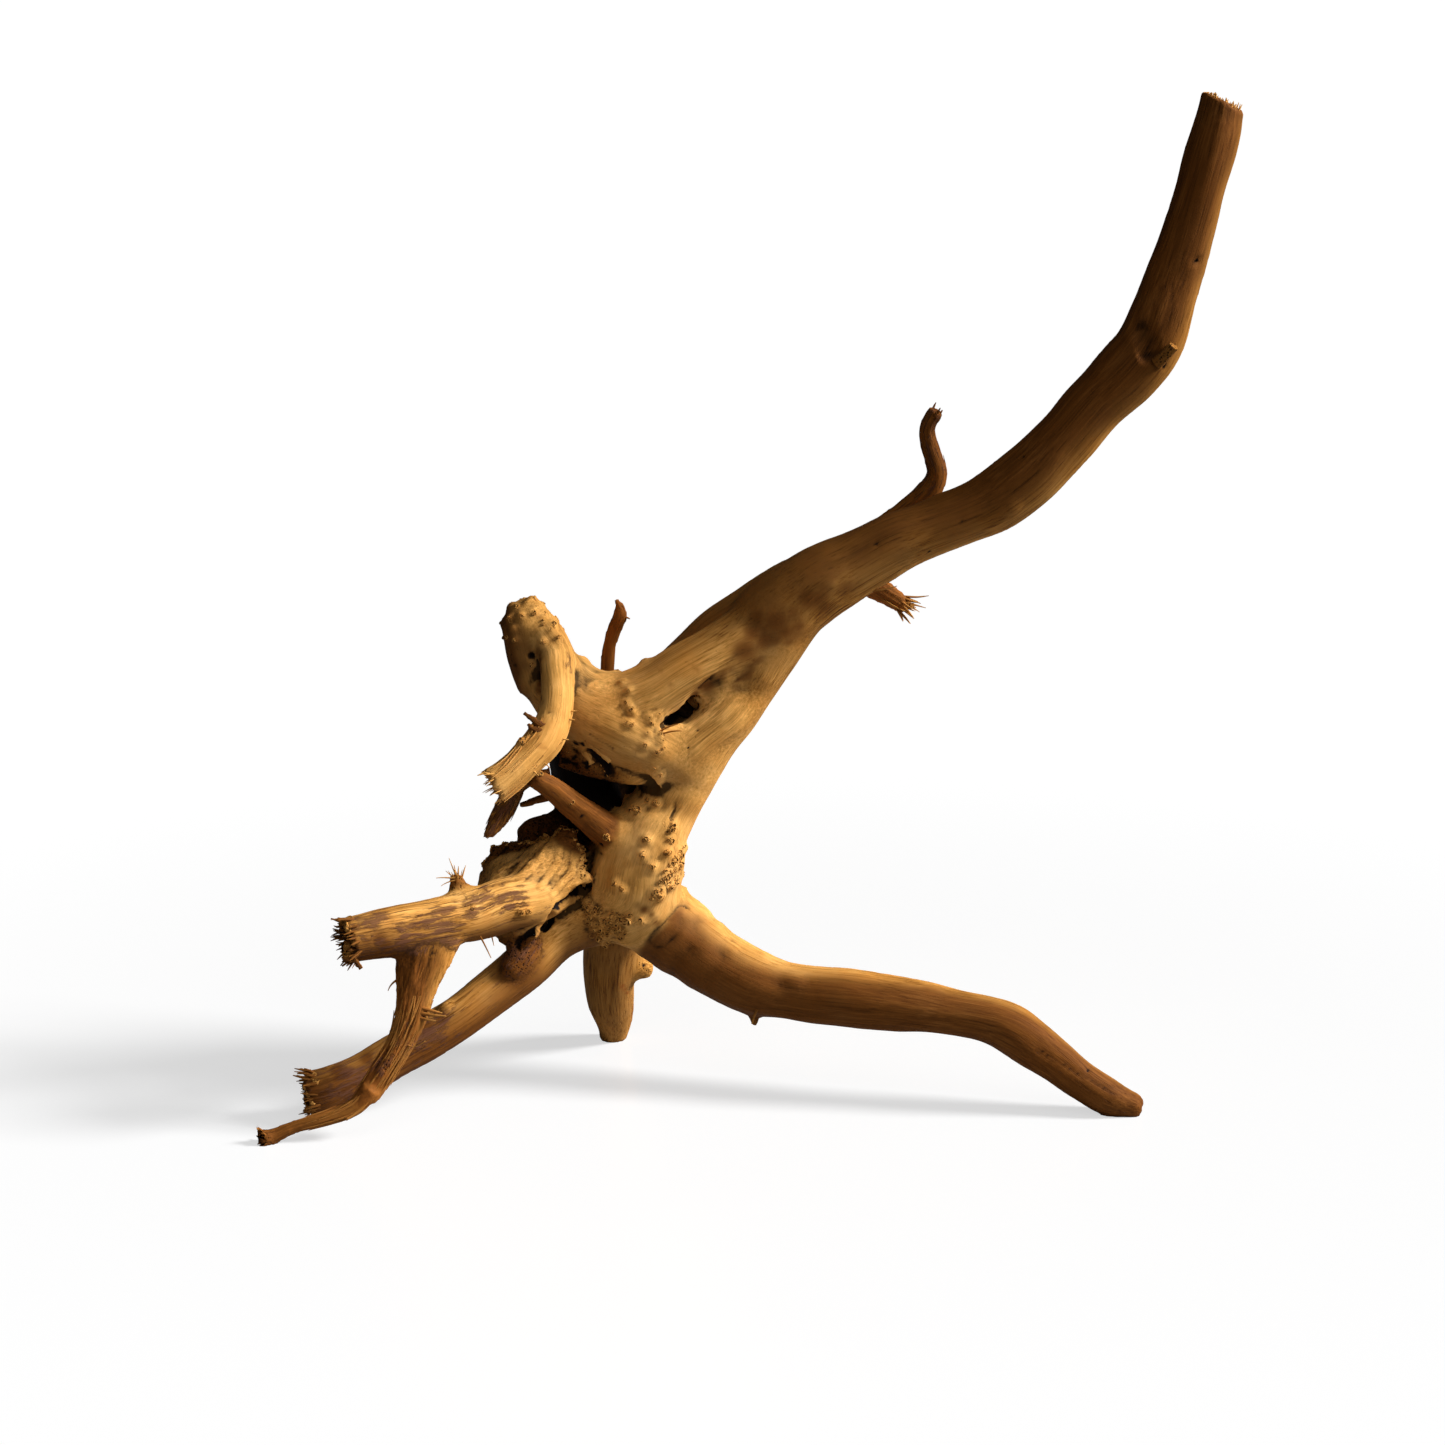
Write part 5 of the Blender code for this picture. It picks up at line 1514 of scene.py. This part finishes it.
# The groups of loose parts: name, tones at root and tip, and what they are made of
FRAYS = (
    ("hook_fibres", {Tone.PALE: (0.5, 0.9), Tone.TORN: (0.3, 0.3)}, (
        Tuft("hook", 26, 3.4, 0.4, 0.25, 2.0, 0.95), Combed("hook", 30, 0.25, 0.35, 0.7, 0.6),
        Shred(((487, 779), (477, 777), (466, 770)), 0.5), Shred(((489, 783), (480, 779), (459, 780)), 0.45),
        Shred(((490, 787), (480, 785), (473, 787)), 0.5), Shred(((490, 792), (480, 793), (469, 791)), 0.5),
        Shred(((489, 795), (485, 800), (486, 807)), 0.4), Shred(((493, 797), (490, 803), (492, 809)), 0.4))),
    ("hook_thorns", {Tone.PALE: (0.5, 0.7)}, (
        Shred(((571, 711), (577, 711)), 0.5), Shred(((569, 719), (575, 720)), 0.6),
        Shred(((563, 739), (569, 740)), 0.5), Shred(((534, 771), (539, 776)), 0.4),
        Shred(((545, 763), (550, 768)), 0.4))),
    ("bark_spike", {Tone.STAIN_AND_SHADE: (0.9, 0.9), Tone.BARK: (0.6, 0.6)}, (
        Shred(((543, 727), (534, 721), (524, 713)), 2.0, 0.2, 0.1, True),
        Shred(((541, 732), (533, 729), (528, 724)), 1.4, 0.3, 0.1, True))),
    ("leader_stub", {Tone.STAIN_AND_SHADE: (0.7, 0.5), Tone.CRUMB: (0.3, 1.2), Tone.BARK: (0.3, 0.6)}, (
        Shred(((1157, 364), (1165, 356), (1174, 346)), 2.7, 0.75, 0.35),
        Shred(((1170, 352), (1174, 348), (1176, 343)), 0.7, 0.4, 0.3),
        Shred(((1166, 351), (1170, 347), (1171, 342)), 0.6, 0.4, 0.3))),
    ("side_knob_hairs", {Tone.PALE: (0.5, 0.9), Tone.TORN: (0.4, 0.2)}, (
        Tuft("side_knob", 12, 3.0, 0.3, 0.5, 1.5, 0.9),
        Shred(((456, 878), (446, 877), (436, 878)), 0.4), Shred(((456, 880), (448, 881), (441, 886)), 0.35),
        Shred(((456, 874), (452, 866), (449, 858)), 0.35),
        Shred(((459, 874), (465, 869), (472, 865)), 0.35))),
    ("root_thorns", {Tone.PALE: (0.3, 0.5), Tone.STAIN_AND_SHADE: (0.8, 0.5)}, (
        Shred(((480, 936), (486, 947), (491, 958)), 0.4, 0.4), Shred(((492, 936), (494, 946)), 0.35),
        Shred(((737, 925), (735, 932), (734, 938)), 0.9, 0.7),
        Shred(((757, 1010), (754, 1016), (752, 1024)), 0.7, 0.5))),
    ("strap_spur", {Tone.PALE: (0.2, 0.6), Tone.TORN: (0.7, 0.4), Tone.STAIN_AND_SHADE: (0.4, 0.2)}, (
        Shred(((423, 1008), (432, 1011), (442, 1013)), 0.9, 0.35),
        Shred(((422, 1013), (433, 1016), (446, 1016)), 0.9, 0.3),
        Shred(((421, 1018), (429, 1020), (436, 1021)), 0.8, 0.3),
        Shred(((396, 1034), (405, 1045), (417, 1048), (425, 1041)), 0.35, 0.6),
        Shred(((389, 956), (384, 953), (380, 955)), 0.5), Shred(((396, 980), (390, 984), (388, 991)), 0.5))),
    ("strap_fibres", {Tone.TORN: (0.6, 0.5), Tone.PALE: (0.3, 0.3), Tone.STAIN_AND_SHADE: (0.4, 0.3)}, (
        Combed("strap", 110, 0.45, 0.4, 1.0, 0.2), Combed("thin_tip", 18, 0.3, 0.3, 0.5, 0.0, 0.7))),
    ("strip_fibres", {Tone.BARK: (0.9, 0.9), Tone.STAIN_AND_SHADE: (0.5, 0.5)}, (
        Combed("dark_strip", 26, 0.5, 0.4, 0.9, 0.2), Combed("curl", 14, 0.3, 0.35, 0.5))),
    ("strap_break", {Tone.TORN: (0.6, 0.4), Tone.STAIN_AND_SHADE: (0.3, 0.3)}, (
        Shred(((366, 1092), (350, 1106), (331, 1119)), 0.8, 0.4, 0.1, True),
        Shred(((372, 1098), (360, 1110), (346, 1120)), 0.7, 0.4, 0.2, True),
        Shred(((358, 1096), (340, 1109), (322, 1117)), 0.5, 0.4))),
    ("root_end_crumbs", {Tone.STAIN_AND_SHADE: (0.8, 0.7), Tone.BARK: (0.4, 0.6), Tone.DARK: (0.3, 0.1)}, (
        Tuft("broken_root", 80, 2.8, 0.6, 0.55, 3.0, 1.05),
        Shred(((352, 950), (355, 960), (361, 969)), 1.4, 0.5, 0.1, True))),
    ("left_end_splinters", {Tone.TORN: (0.7, 0.4), Tone.STAIN_AND_SHADE: (0.5, 0.5)}, (
        Tuft("left_root", 90, 3.2, 0.6, 0.45, 3.0, 1.05),)),
    ("tip_club", {Tone.TORN: (0.6, 0.4), Tone.STAIN_AND_SHADE: (0.6, 0.4)}, (
        Tuft("thin_tip", 30, 3.0, 0.45, 0.8, 2.0, 1.0),)),
    ("sawn_fibres", {Tone.PALE: (0.4, 0.9), Tone.TORN: (0.5, 0.1)}, (
        Tuft("leader", 90, 1.6, 0.4, 0.1, 1.6, 0.9),)),
    ("stub_fibres", {Tone.TORN: (0.6, 0.3), Tone.PALE: (0.3, 0.6)}, (
        Tuft("torn_stub", 26, 4.5, 0.5, 0.5, 3.0, 1.0),
        Shred(((880, 598), (893, 607), (905, 611)), 0.6), Shred(((872, 592), (885, 590), (897, 586)), 0.5))),
    ("splinter_tip", {Tone.TORN: (0.8, 0.8), Tone.STAIN_AND_SHADE: (0.5, 0.7)}, (
        Shred(((621, 614), (618, 607), (616, 600)), 1.1, 0.25, 0.0, True),
        Shred(((625, 618), (627, 617), (630, 619)), 0.6, 0.4, 0.0))),
    ("curl_tip", {Tone.TORN: (0.5, 0.3), Tone.STAIN_AND_SHADE: (0.8, 0.9)}, (
        Tuft("curl", 6, 1.8, 0.7, 0.3, 2.0, 0.8),)),
    ("saddle_flakes", {Tone.PALE: (0.6, 0.8), Tone.TORN: (0.4, 0.2)}, (
        Shred(((588, 742), (600, 752), (610, 762)), 1.3, 0.5, 0.05, True),
        Shred(((574, 744), (584, 750), (592, 764)), 1.5, 0.6, 0.05, True),
        Shred(((600, 763), (603, 769), (608, 777)), 0.4, 0.3, 0.05))),
    ("collar_spur", {Tone.PALE: (0.6, 0.2), Tone.TORN: (0.3, 0.9)}, (
        Shred(((584, 886), (586, 878), (582, 872)), 1.0, 0.4, 0.2),
        Shred(((586, 886), (573, 896), (556, 905), (543, 926)), 0.35, 0.7, 0.05))),
    ("eye_fibres", {Tone.TORN: (0.9, 0.9), Tone.PALE: (0.2, 0.4)}, (
        Shred(((660, 731), (668, 726), (678, 724)), 0.5, 0.4, 0.05),
        Shred(((663, 734), (673, 730), (682, 731)), 0.45, 0.4, 0.05))),
    ("strip_flakes", {Tone.BARK: (0.9, 0.6), Tone.STAIN_AND_SHADE: (0.5, 0.4)}, (
        Shred(((502, 812), (493, 824), (486, 835)), 1.5, 0.5, 0.1, True),
        Shred(((510, 806), (500, 811), (491, 815)), 1.0, 0.5, 0.15, True))),
)


class Value:
    """A number that changes over a surface. Arithmetic on it adds Math nodes."""

    def __init__(self, shader: "Shader", socket: bpy.types.NodeSocket) -> None:
        """Wraps an output socket."""
        self.shader = shader
        self.socket = socket

    def _math(self, operation: str, first: "Value | float", second: "Value | float") -> "Value":
        """One Math node."""
        node = self.shader.node("ShaderNodeMath", {"operation": operation}, {0: first, 1: second})
        return Value(self.shader, node.outputs[0])

    def __add__(self, other: "Value | float") -> "Value":
        """Sum."""
        return self._math("ADD", self, other)

    def __radd__(self, other: float) -> "Value":
        """Sum with a number in front."""
        return self._math("ADD", other, self)

    def __sub__(self, other: "Value | float") -> "Value":
        """Difference."""
        return self._math("SUBTRACT", self, other)

    def __rsub__(self, other: float) -> "Value":
        """Difference from a number in front."""
        return self._math("SUBTRACT", other, self)

    def __mul__(self, other: "Value | float") -> "Value":
        """Product."""
        return self._math("MULTIPLY", self, other)

    def __rmul__(self, other: float) -> "Value":
        """Product with a number in front."""
        return self._math("MULTIPLY", other, self)

    def most(self, other: "Value | float") -> "Value":
        """The larger of the two."""
        return self._math("MAXIMUM", self, other)

    def ramp(self, low: float, high: float) -> "Value":
        """0 below low, 1 above high and smooth between; low may be above high."""
        node = self.shader.node("ShaderNodeMapRange", {"interpolation_type": "SMOOTHSTEP"},
                                {"Value": self, "From Min": low, "From Max": high})
        return Value(self.shader, node.outputs["Result"])


class Shader:
    """The node tree of one material."""

    def __init__(self, name: str) -> None:
        """Starts a material with a plain Principled BSDF."""
        self.material = bpy.data.materials.new(name)
        self.material.use_nodes = True
        self.tree = self.material.node_tree
        self.surface = self.tree.nodes["Principled BSDF"]

    def node(self, kind: str, settings: dict, sockets: dict) -> bpy.types.ShaderNode:
        """Adds one node.

        Args:
            kind: The node's type.
            settings: Its properties, which are set first. "stops" holds a ramp's places and colours.
            sockets: Values or links of its inputs, by name or number.

        Returns:
            The node.
        """
        made = self.tree.nodes.new(kind)
        for name, value in settings.items():
            if name == "stops":
                self._stops(made.color_ramp, value)
            else:
                setattr(made, name, value)
        for name, value in sockets.items():
            self.plug(made.inputs[name], value)
        return made

    def plug(self, socket: bpy.types.NodeSocket, value: object) -> None:
        """Links a value to a socket, or sets a constant on it."""
        if isinstance(value, Value):
            self.tree.links.new(value.socket, socket)
        elif isinstance(value, bpy.types.NodeSocket):
            self.tree.links.new(value, socket)
        else:
            socket.default_value = value

    def _stops(self, ramp: bpy.types.ColorRamp, stops: tuple) -> None:
        """Sets a ramp's places and colours."""
        while len(ramp.elements) < len(stops):
            ramp.elements.new(0.5)
        for element, (place, colour) in zip(ramp.elements, stops):
            element.position = place
            element.color = (*colour, 1)

    def attribute(self, name: str) -> bpy.types.ShaderNode:
        """A node that reads one of the skin's own attributes."""
        return self.node("ShaderNodeAttribute", {"attribute_name": name}, {})

    def mask(self, tone: Tone) -> Value:
        """One of the skin's masks."""
        return Value(self, self.attribute(tone.value).outputs["Fac"])

    def scaled(self, vector: bpy.types.NodeSocket, scale: tuple[float, float, float]) -> bpy.types.NodeSocket:
        """A vector times a constant, axis by axis."""
        node = self.node("ShaderNodeVectorMath", {"operation": "MULTIPLY"}, {0: vector, 1: scale})
        return node.outputs[0]

    def noise(self, vector: bpy.types.NodeSocket, size: float, detail: float = 2.0, rough: float = 0.5,
              bend: float = 0.0) -> Value:
        """Noise with lumps of this size, from 0 to 1."""
        node = self.node("ShaderNodeTexNoise", {}, {
            "Vector": vector, "Scale": 1 / size, "Detail": detail, "Roughness": rough, "Distortion": bend})
        return Value(self, node.outputs[0])

    def pits(self, vector: bpy.types.NodeSocket, size: float) -> Value:
        """Distance to the nearest of points that lie about this far apart, 0 at the points."""
        node = self.node("ShaderNodeTexVoronoi", {}, {"Vector": vector, "Scale": 1 / size})
        return Value(self, node.outputs["Distance"])

    def colours(self, value: Value, stops: tuple) -> bpy.types.NodeSocket:
        """A colour for each value, from a ramp."""
        return self.node("ShaderNodeValToRGB", {"stops": stops}, {"Fac": value}).outputs["Color"]

    def blend(self, share: Value, under: object, over: object) -> bpy.types.NodeSocket:
        """Mixes two colours."""
        node = self.node("ShaderNodeMix", {"data_type": "RGBA", "clamp_factor": True},
                         {0: share, 6: self._colour(under), 7: self._colour(over)})
        return node.outputs[2]

    def shade(self, colour: bpy.types.NodeSocket, share: Value) -> bpy.types.NodeSocket:
        """A colour times a number."""
        node = self.node("ShaderNodeVectorMath", {"operation": "SCALE"}, {0: colour, "Scale": share})
        return node.outputs[0]

    def _colour(self, value: object) -> object:
        """A plain colour with its alpha, or a link as it is."""
        return (*value, 1) if isinstance(value, tuple) else value

    def finish(self, colour: bpy.types.NodeSocket, roughness: Value, height: Value) -> bpy.types.Material:
        """Connects colour, roughness and relief, whose height is in millimetres."""
        self.plug(self.surface.inputs["Base Color"], colour)
        self.plug(self.surface.inputs["Roughness"], roughness)
        bump = self.node("ShaderNodeBump", {}, {"Height": height, "Distance": MM, "Strength": 1.0})
        self.plug(self.surface.inputs["Normal"], bump.outputs["Normal"])
        return self.material


Colour = tuple[float, float, float]


@dataclass(frozen=True)
class BleachedWood:
    """Washed root wood: straw and ochre with brown fibres, stains, bark and crumbly warts, and painted shade in
    its hollows and on its shaded sides, with a painted highlight on its ridges.
    """

    deep: Colour = (0.19, 0.060, 0.007)
    ochre: Colour = (0.41, 0.175, 0.030)
    straw: Colour = (0.63, 0.31, 0.075)
    pale: Colour = (0.83, 0.455, 0.14)
    amber: Colour = (0.55, 0.225, 0.040)
    # brown of stains, and of painted shade
    stain_and_shade: Colour = (0.125, 0.035, 0.0035)
    bark: Colour = (0.13, 0.052, 0.028)
    torn: Colour = (0.27, 0.085, 0.013)
    # near-black of painted shade in hollows, slits and pits
    dark: Colour = (0.006, 0.002, 0.001)
    thread_size: float = 0.55  # sizes are in millimetres
    fine_size: float = 1.3
    broad_size: float = 2.8
    blotch_size: float = 21.0
    warm_size: float = 15.0
    speck_size: float = 1.3
    mottle_size: float = 1.2
    streak_size: float = 1.5
    hole_size: float = 1.15
    least_light: float = 0.12
    sheen: float = 0.1

    def material(self) -> bpy.types.Material:
        """Builds the material."""
        s = Shader("bleached_wood")
        place = s.scaled(s.node("ShaderNodeTexCoord", {}, {}).outputs["Object"], (1 / MM,) * 3)
        grain = s.attribute("grain").outputs["Vector"]
        fade = Value(s, s.attribute("fade").outputs["Fac"])
        long = s.scaled(grain, (1, 1, 0.3))
        thread = s.noise(long, self.thread_size, 3, 0.65)
        fine = s.noise(long, self.fine_size, 3, 0.6)
        broad = s.noise(grain, self.broad_size, 2, 0.55)
        blotch = s.noise(place, self.blotch_size, 3, 0.55)
        speck = s.noise(place, self.speck_size, 2, 0.6)
        pale = s.mask(Tone.PALE)
        stain_and_shade_mask = s.mask(Tone.STAIN_AND_SHADE)
        marked = fade * (1 - pale.ramp(0.3, 1.0) * 0.68)
        mottle = s.noise(place, self.mottle_size, 3, 0.65)
        lines = (thread - 0.5) * 1.0 + (fine - 0.5) * 0.7 + (broad - 0.5) * 0.3
        lines = lines * marked + (mottle - 0.5) * 0.7 * (1 - fade)
        tone = 0.40 + lines + (blotch - 0.5) * 0.9 + pale * 0.28
        shades = ((0.10, self.deep), (0.36, self.ochre), (0.62, self.straw), (0.9, self.pale))
        colour = s.colours(tone, shades)
        warm = s.noise(place, self.warm_size, 3, 0.6).ramp(0.48, 0.72)
        colour = s.blend(warm * 0.45, colour, self.amber)
        crumb = s.mask(Tone.CRUMB)
        colour = s.blend(crumb * 0.5, colour, self.ochre)
        # brown stains, and brown painted shade on shaded sides and in hollows
        stain_and_shade = (stain_and_shade_mask + lines * 0.7 + (blotch - 0.5) * 0.7).ramp(0.1, 0.98) * 0.92
        colour = s.blend(stain_and_shade, colour, self.stain_and_shade)
        torn = (s.mask(Tone.TORN) + lines * 0.8).ramp(0.25, 0.8) * 0.85
        colour = s.blend(torn, colour, self.torn)
        streaks = s.noise(s.scaled(grain, (1, 1, 1.8)), self.streak_size, 5, 0.72, 0.5)
        bark = s.mask(Tone.BARK)
        bark = (bark * 0.55 + (streaks - 0.5) * 1.9).ramp(0.36, 0.66) * (0.15 + bark.ramp(0.0, 0.25) * 0.85)
        colour = s.blend(bark * 0.85, colour, self.bark)
        # Painted shade: near-black in the small pits of crumbly wood
        holes = 1 - s.pits(place, self.hole_size).ramp(0.16, 0.42)
        colour = s.blend(holes * crumb.ramp(0.15, 0.6) * 0.85, colour, self.dark)
        pores = (1 - thread).ramp(0.58, 0.72) * marked
        colour = s.blend(pores * 0.45, colour, self.stain_and_shade)
        colour = s.blend((1 - speck).ramp(0.68, 0.78) * 0.5, colour, self.stain_and_shade)
        # Grain lines lighten and darken the wood; painted shade darkens hollows and valleys, and a painted
        # highlight lightens ridges
        hollow = s.mask(Tone.HOLLOW)
        grain_and_painted_light = 1 + lines * 1.5 - hollow.ramp(0.5, 1.0) * 0.7 + (1 - hollow).ramp(0.5, 1.0) * 0.16
        colour = s.shade(colour, (grain_and_painted_light - s.mask(Tone.VALLEY).ramp(0.5, 1.0) * 0.5).most(self.least_light))
        # Painted shade: near-black in hollows, slits, cracks and pits
        dark = (s.mask(Tone.DARK) + (speck - 0.5) * 0.5 + lines * 0.4).ramp(0.25, 0.75)
        colour = s.blend(dark, colour, self.dark)
        rough = 0.72 + (fine - 0.5) * 0.2 + bark * 0.12 + crumb * 0.12
        height = (thread * 0.12 + fine * 0.14 + broad * 0.1) * marked + speck * 0.06 + bark * 0.25
        height = height - holes * crumb * 0.55 - pores * 0.08
        s.surface.inputs["Specular IOR Level"].default_value = self.sheen
        return s.finish(colour, rough, height)


@dataclass
class Studio:
    """A plain pale floor, a soft key from the right and the photograph's camera."""

    clip_end: float = 200.0
    floor_size: float = 60.0
    floor_rough: float = 0.3
    floor_gloss: float = 0.3
    floor_white: float = 0.33
    floor_lift: float = 0.62  # how much the floor's shadows are washed out in the picture
    key_strength: float = 5.6
    key_spread: float = math.radians(16)
    key_from: tuple[float, float, float] = (1.386, -0.10, 1.0)
    front_strength: float = 0.75
    front_spread: float = math.radians(60)
    front_from: tuple[float, float, float] = (0.3, -0.7, 0.8)
    fill: float = 0.03
    bounce_near: float = 0.22  # metres from the root's middle within which the floor throws light back
    bounce_far: float = 0.60  # and beyond which it throws none

    def build(self) -> None:
        """Sets up the stage."""
        self._camera()
        self._lights()
        self._floor()

    def _camera(self) -> None:
        """The camera of the photograph's view."""
        data = bpy.data.cameras.new("camera")
        data.lens = SIGHT.lens
        data.sensor_width = SIGHT.sensor
        data.clip_end = self.clip_end
        camera = Bench.place("camera", data)
        camera.location = SIGHT.eye() * MM
        camera.rotation_euler = SIGHT.ahead().to_track_quat("-Z", "Y").to_euler()
        bpy.context.scene.camera = camera

    def _lights(self) -> None:
        """The key, and a world that is white to the eye and a weak fill."""
        self._sun("key", self.key_strength, self.key_spread, self.key_from)
        self._sun("front", self.front_strength, self.front_spread, self.front_from)
        world = bpy.data.worlds.new("backdrop")
        bpy.context.scene.world = world
        world.use_nodes = True
        tree = world.node_tree
        seen = tree.nodes.new("ShaderNodeLightPath").outputs["Is Camera Ray"]
        strength = tree.nodes.new("ShaderNodeMapRange")
        strength.inputs["To Min"].default_value = self.fill
        strength.inputs["To Max"].default_value = 1.0
        tree.links.new(seen, strength.inputs["Value"])
        sky = tree.nodes["Background"]
        sky.inputs["Color"].default_value = (1, 1, 1, 1)
        tree.links.new(strength.outputs["Result"], sky.inputs["Strength"])
        bpy.context.scene.view_settings.view_transform = "Standard"

    def _sun(self, name: str, strength: float, spread: float, source: tuple[float, float, float]) -> None:
        """A soft light that comes from this direction."""
        lamp = Bench.place(name, bpy.data.lights.new(name, "SUN"))
        lamp.data.energy = strength
        lamp.data.angle = spread
        lamp.rotation_euler = Vector(source).to_track_quat("Z", "Y").to_euler()

    def _floor(self) -> None:
        """The floor, which is not part of the object."""
        bpy.ops.object.select_all(action="DESELECT")
        bpy.ops.mesh.primitive_plane_add(size=self.floor_size)
        floor = bpy.context.active_object
        floor.name = "floor"
        material = bpy.data.materials.new("floor_white")
        material.use_nodes = True
        tree = material.node_tree
        surface = tree.nodes["Principled BSDF"]
        surface.inputs["Roughness"].default_value = self.floor_rough
        surface.inputs["Specular IOR Level"].default_value = self.floor_gloss
        surface.inputs["Emission Color"].default_value = (1, 1, 1, 1)
        away = tree.nodes.new("ShaderNodeVectorMath")
        away.operation = "LENGTH"
        tree.links.new(tree.nodes.new("ShaderNodeTexCoord").outputs["Object"], away.inputs[0])
        white = self._fall(tree, away.outputs["Value"], self.floor_white, 0.0)
        tree.links.new(white, surface.inputs["Base Color"])
        glow = self._fall(tree, away.outputs["Value"], self.floor_lift, 1.0)
        lift = tree.nodes.new("ShaderNodeMath")
        lift.operation = "MULTIPLY"
        tree.links.new(tree.nodes.new("ShaderNodeLightPath").outputs["Is Camera Ray"], lift.inputs[0])
        tree.links.new(glow, lift.inputs[1])
        tree.links.new(lift.outputs[0], surface.inputs["Emission Strength"])
        floor.data.materials.append(material)

    def _fall(self, tree: bpy.types.NodeTree, away: bpy.types.NodeSocket, near: float,
              far: float) -> bpy.types.NodeSocket:
        """A number that goes smoothly from near the root to far from it."""
        node = tree.nodes.new("ShaderNodeMapRange")
        node.interpolation_type = "SMOOTHSTEP"
        for name, value in (("From Min", self.bounce_near), ("From Max", self.bounce_far),
                            ("To Min", near), ("To Max", far)):
            node.inputs[name].default_value = value
        tree.links.new(away, node.inputs["Value"])
        return node.outputs["Result"]


def main() -> None:
    """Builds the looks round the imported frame."""
    logging.basicConfig(level=logging.INFO, format="%(name)s: %(message)s")
    wood = BleachedWood().material()
    builder = RootSkin()
    root = builder.build(wood)
    Nodules().build(root, wood, builder.warts.unseen)
    Frays().build(root, wood)
    Studio().build()


if __name__ == "__main__":
    main()
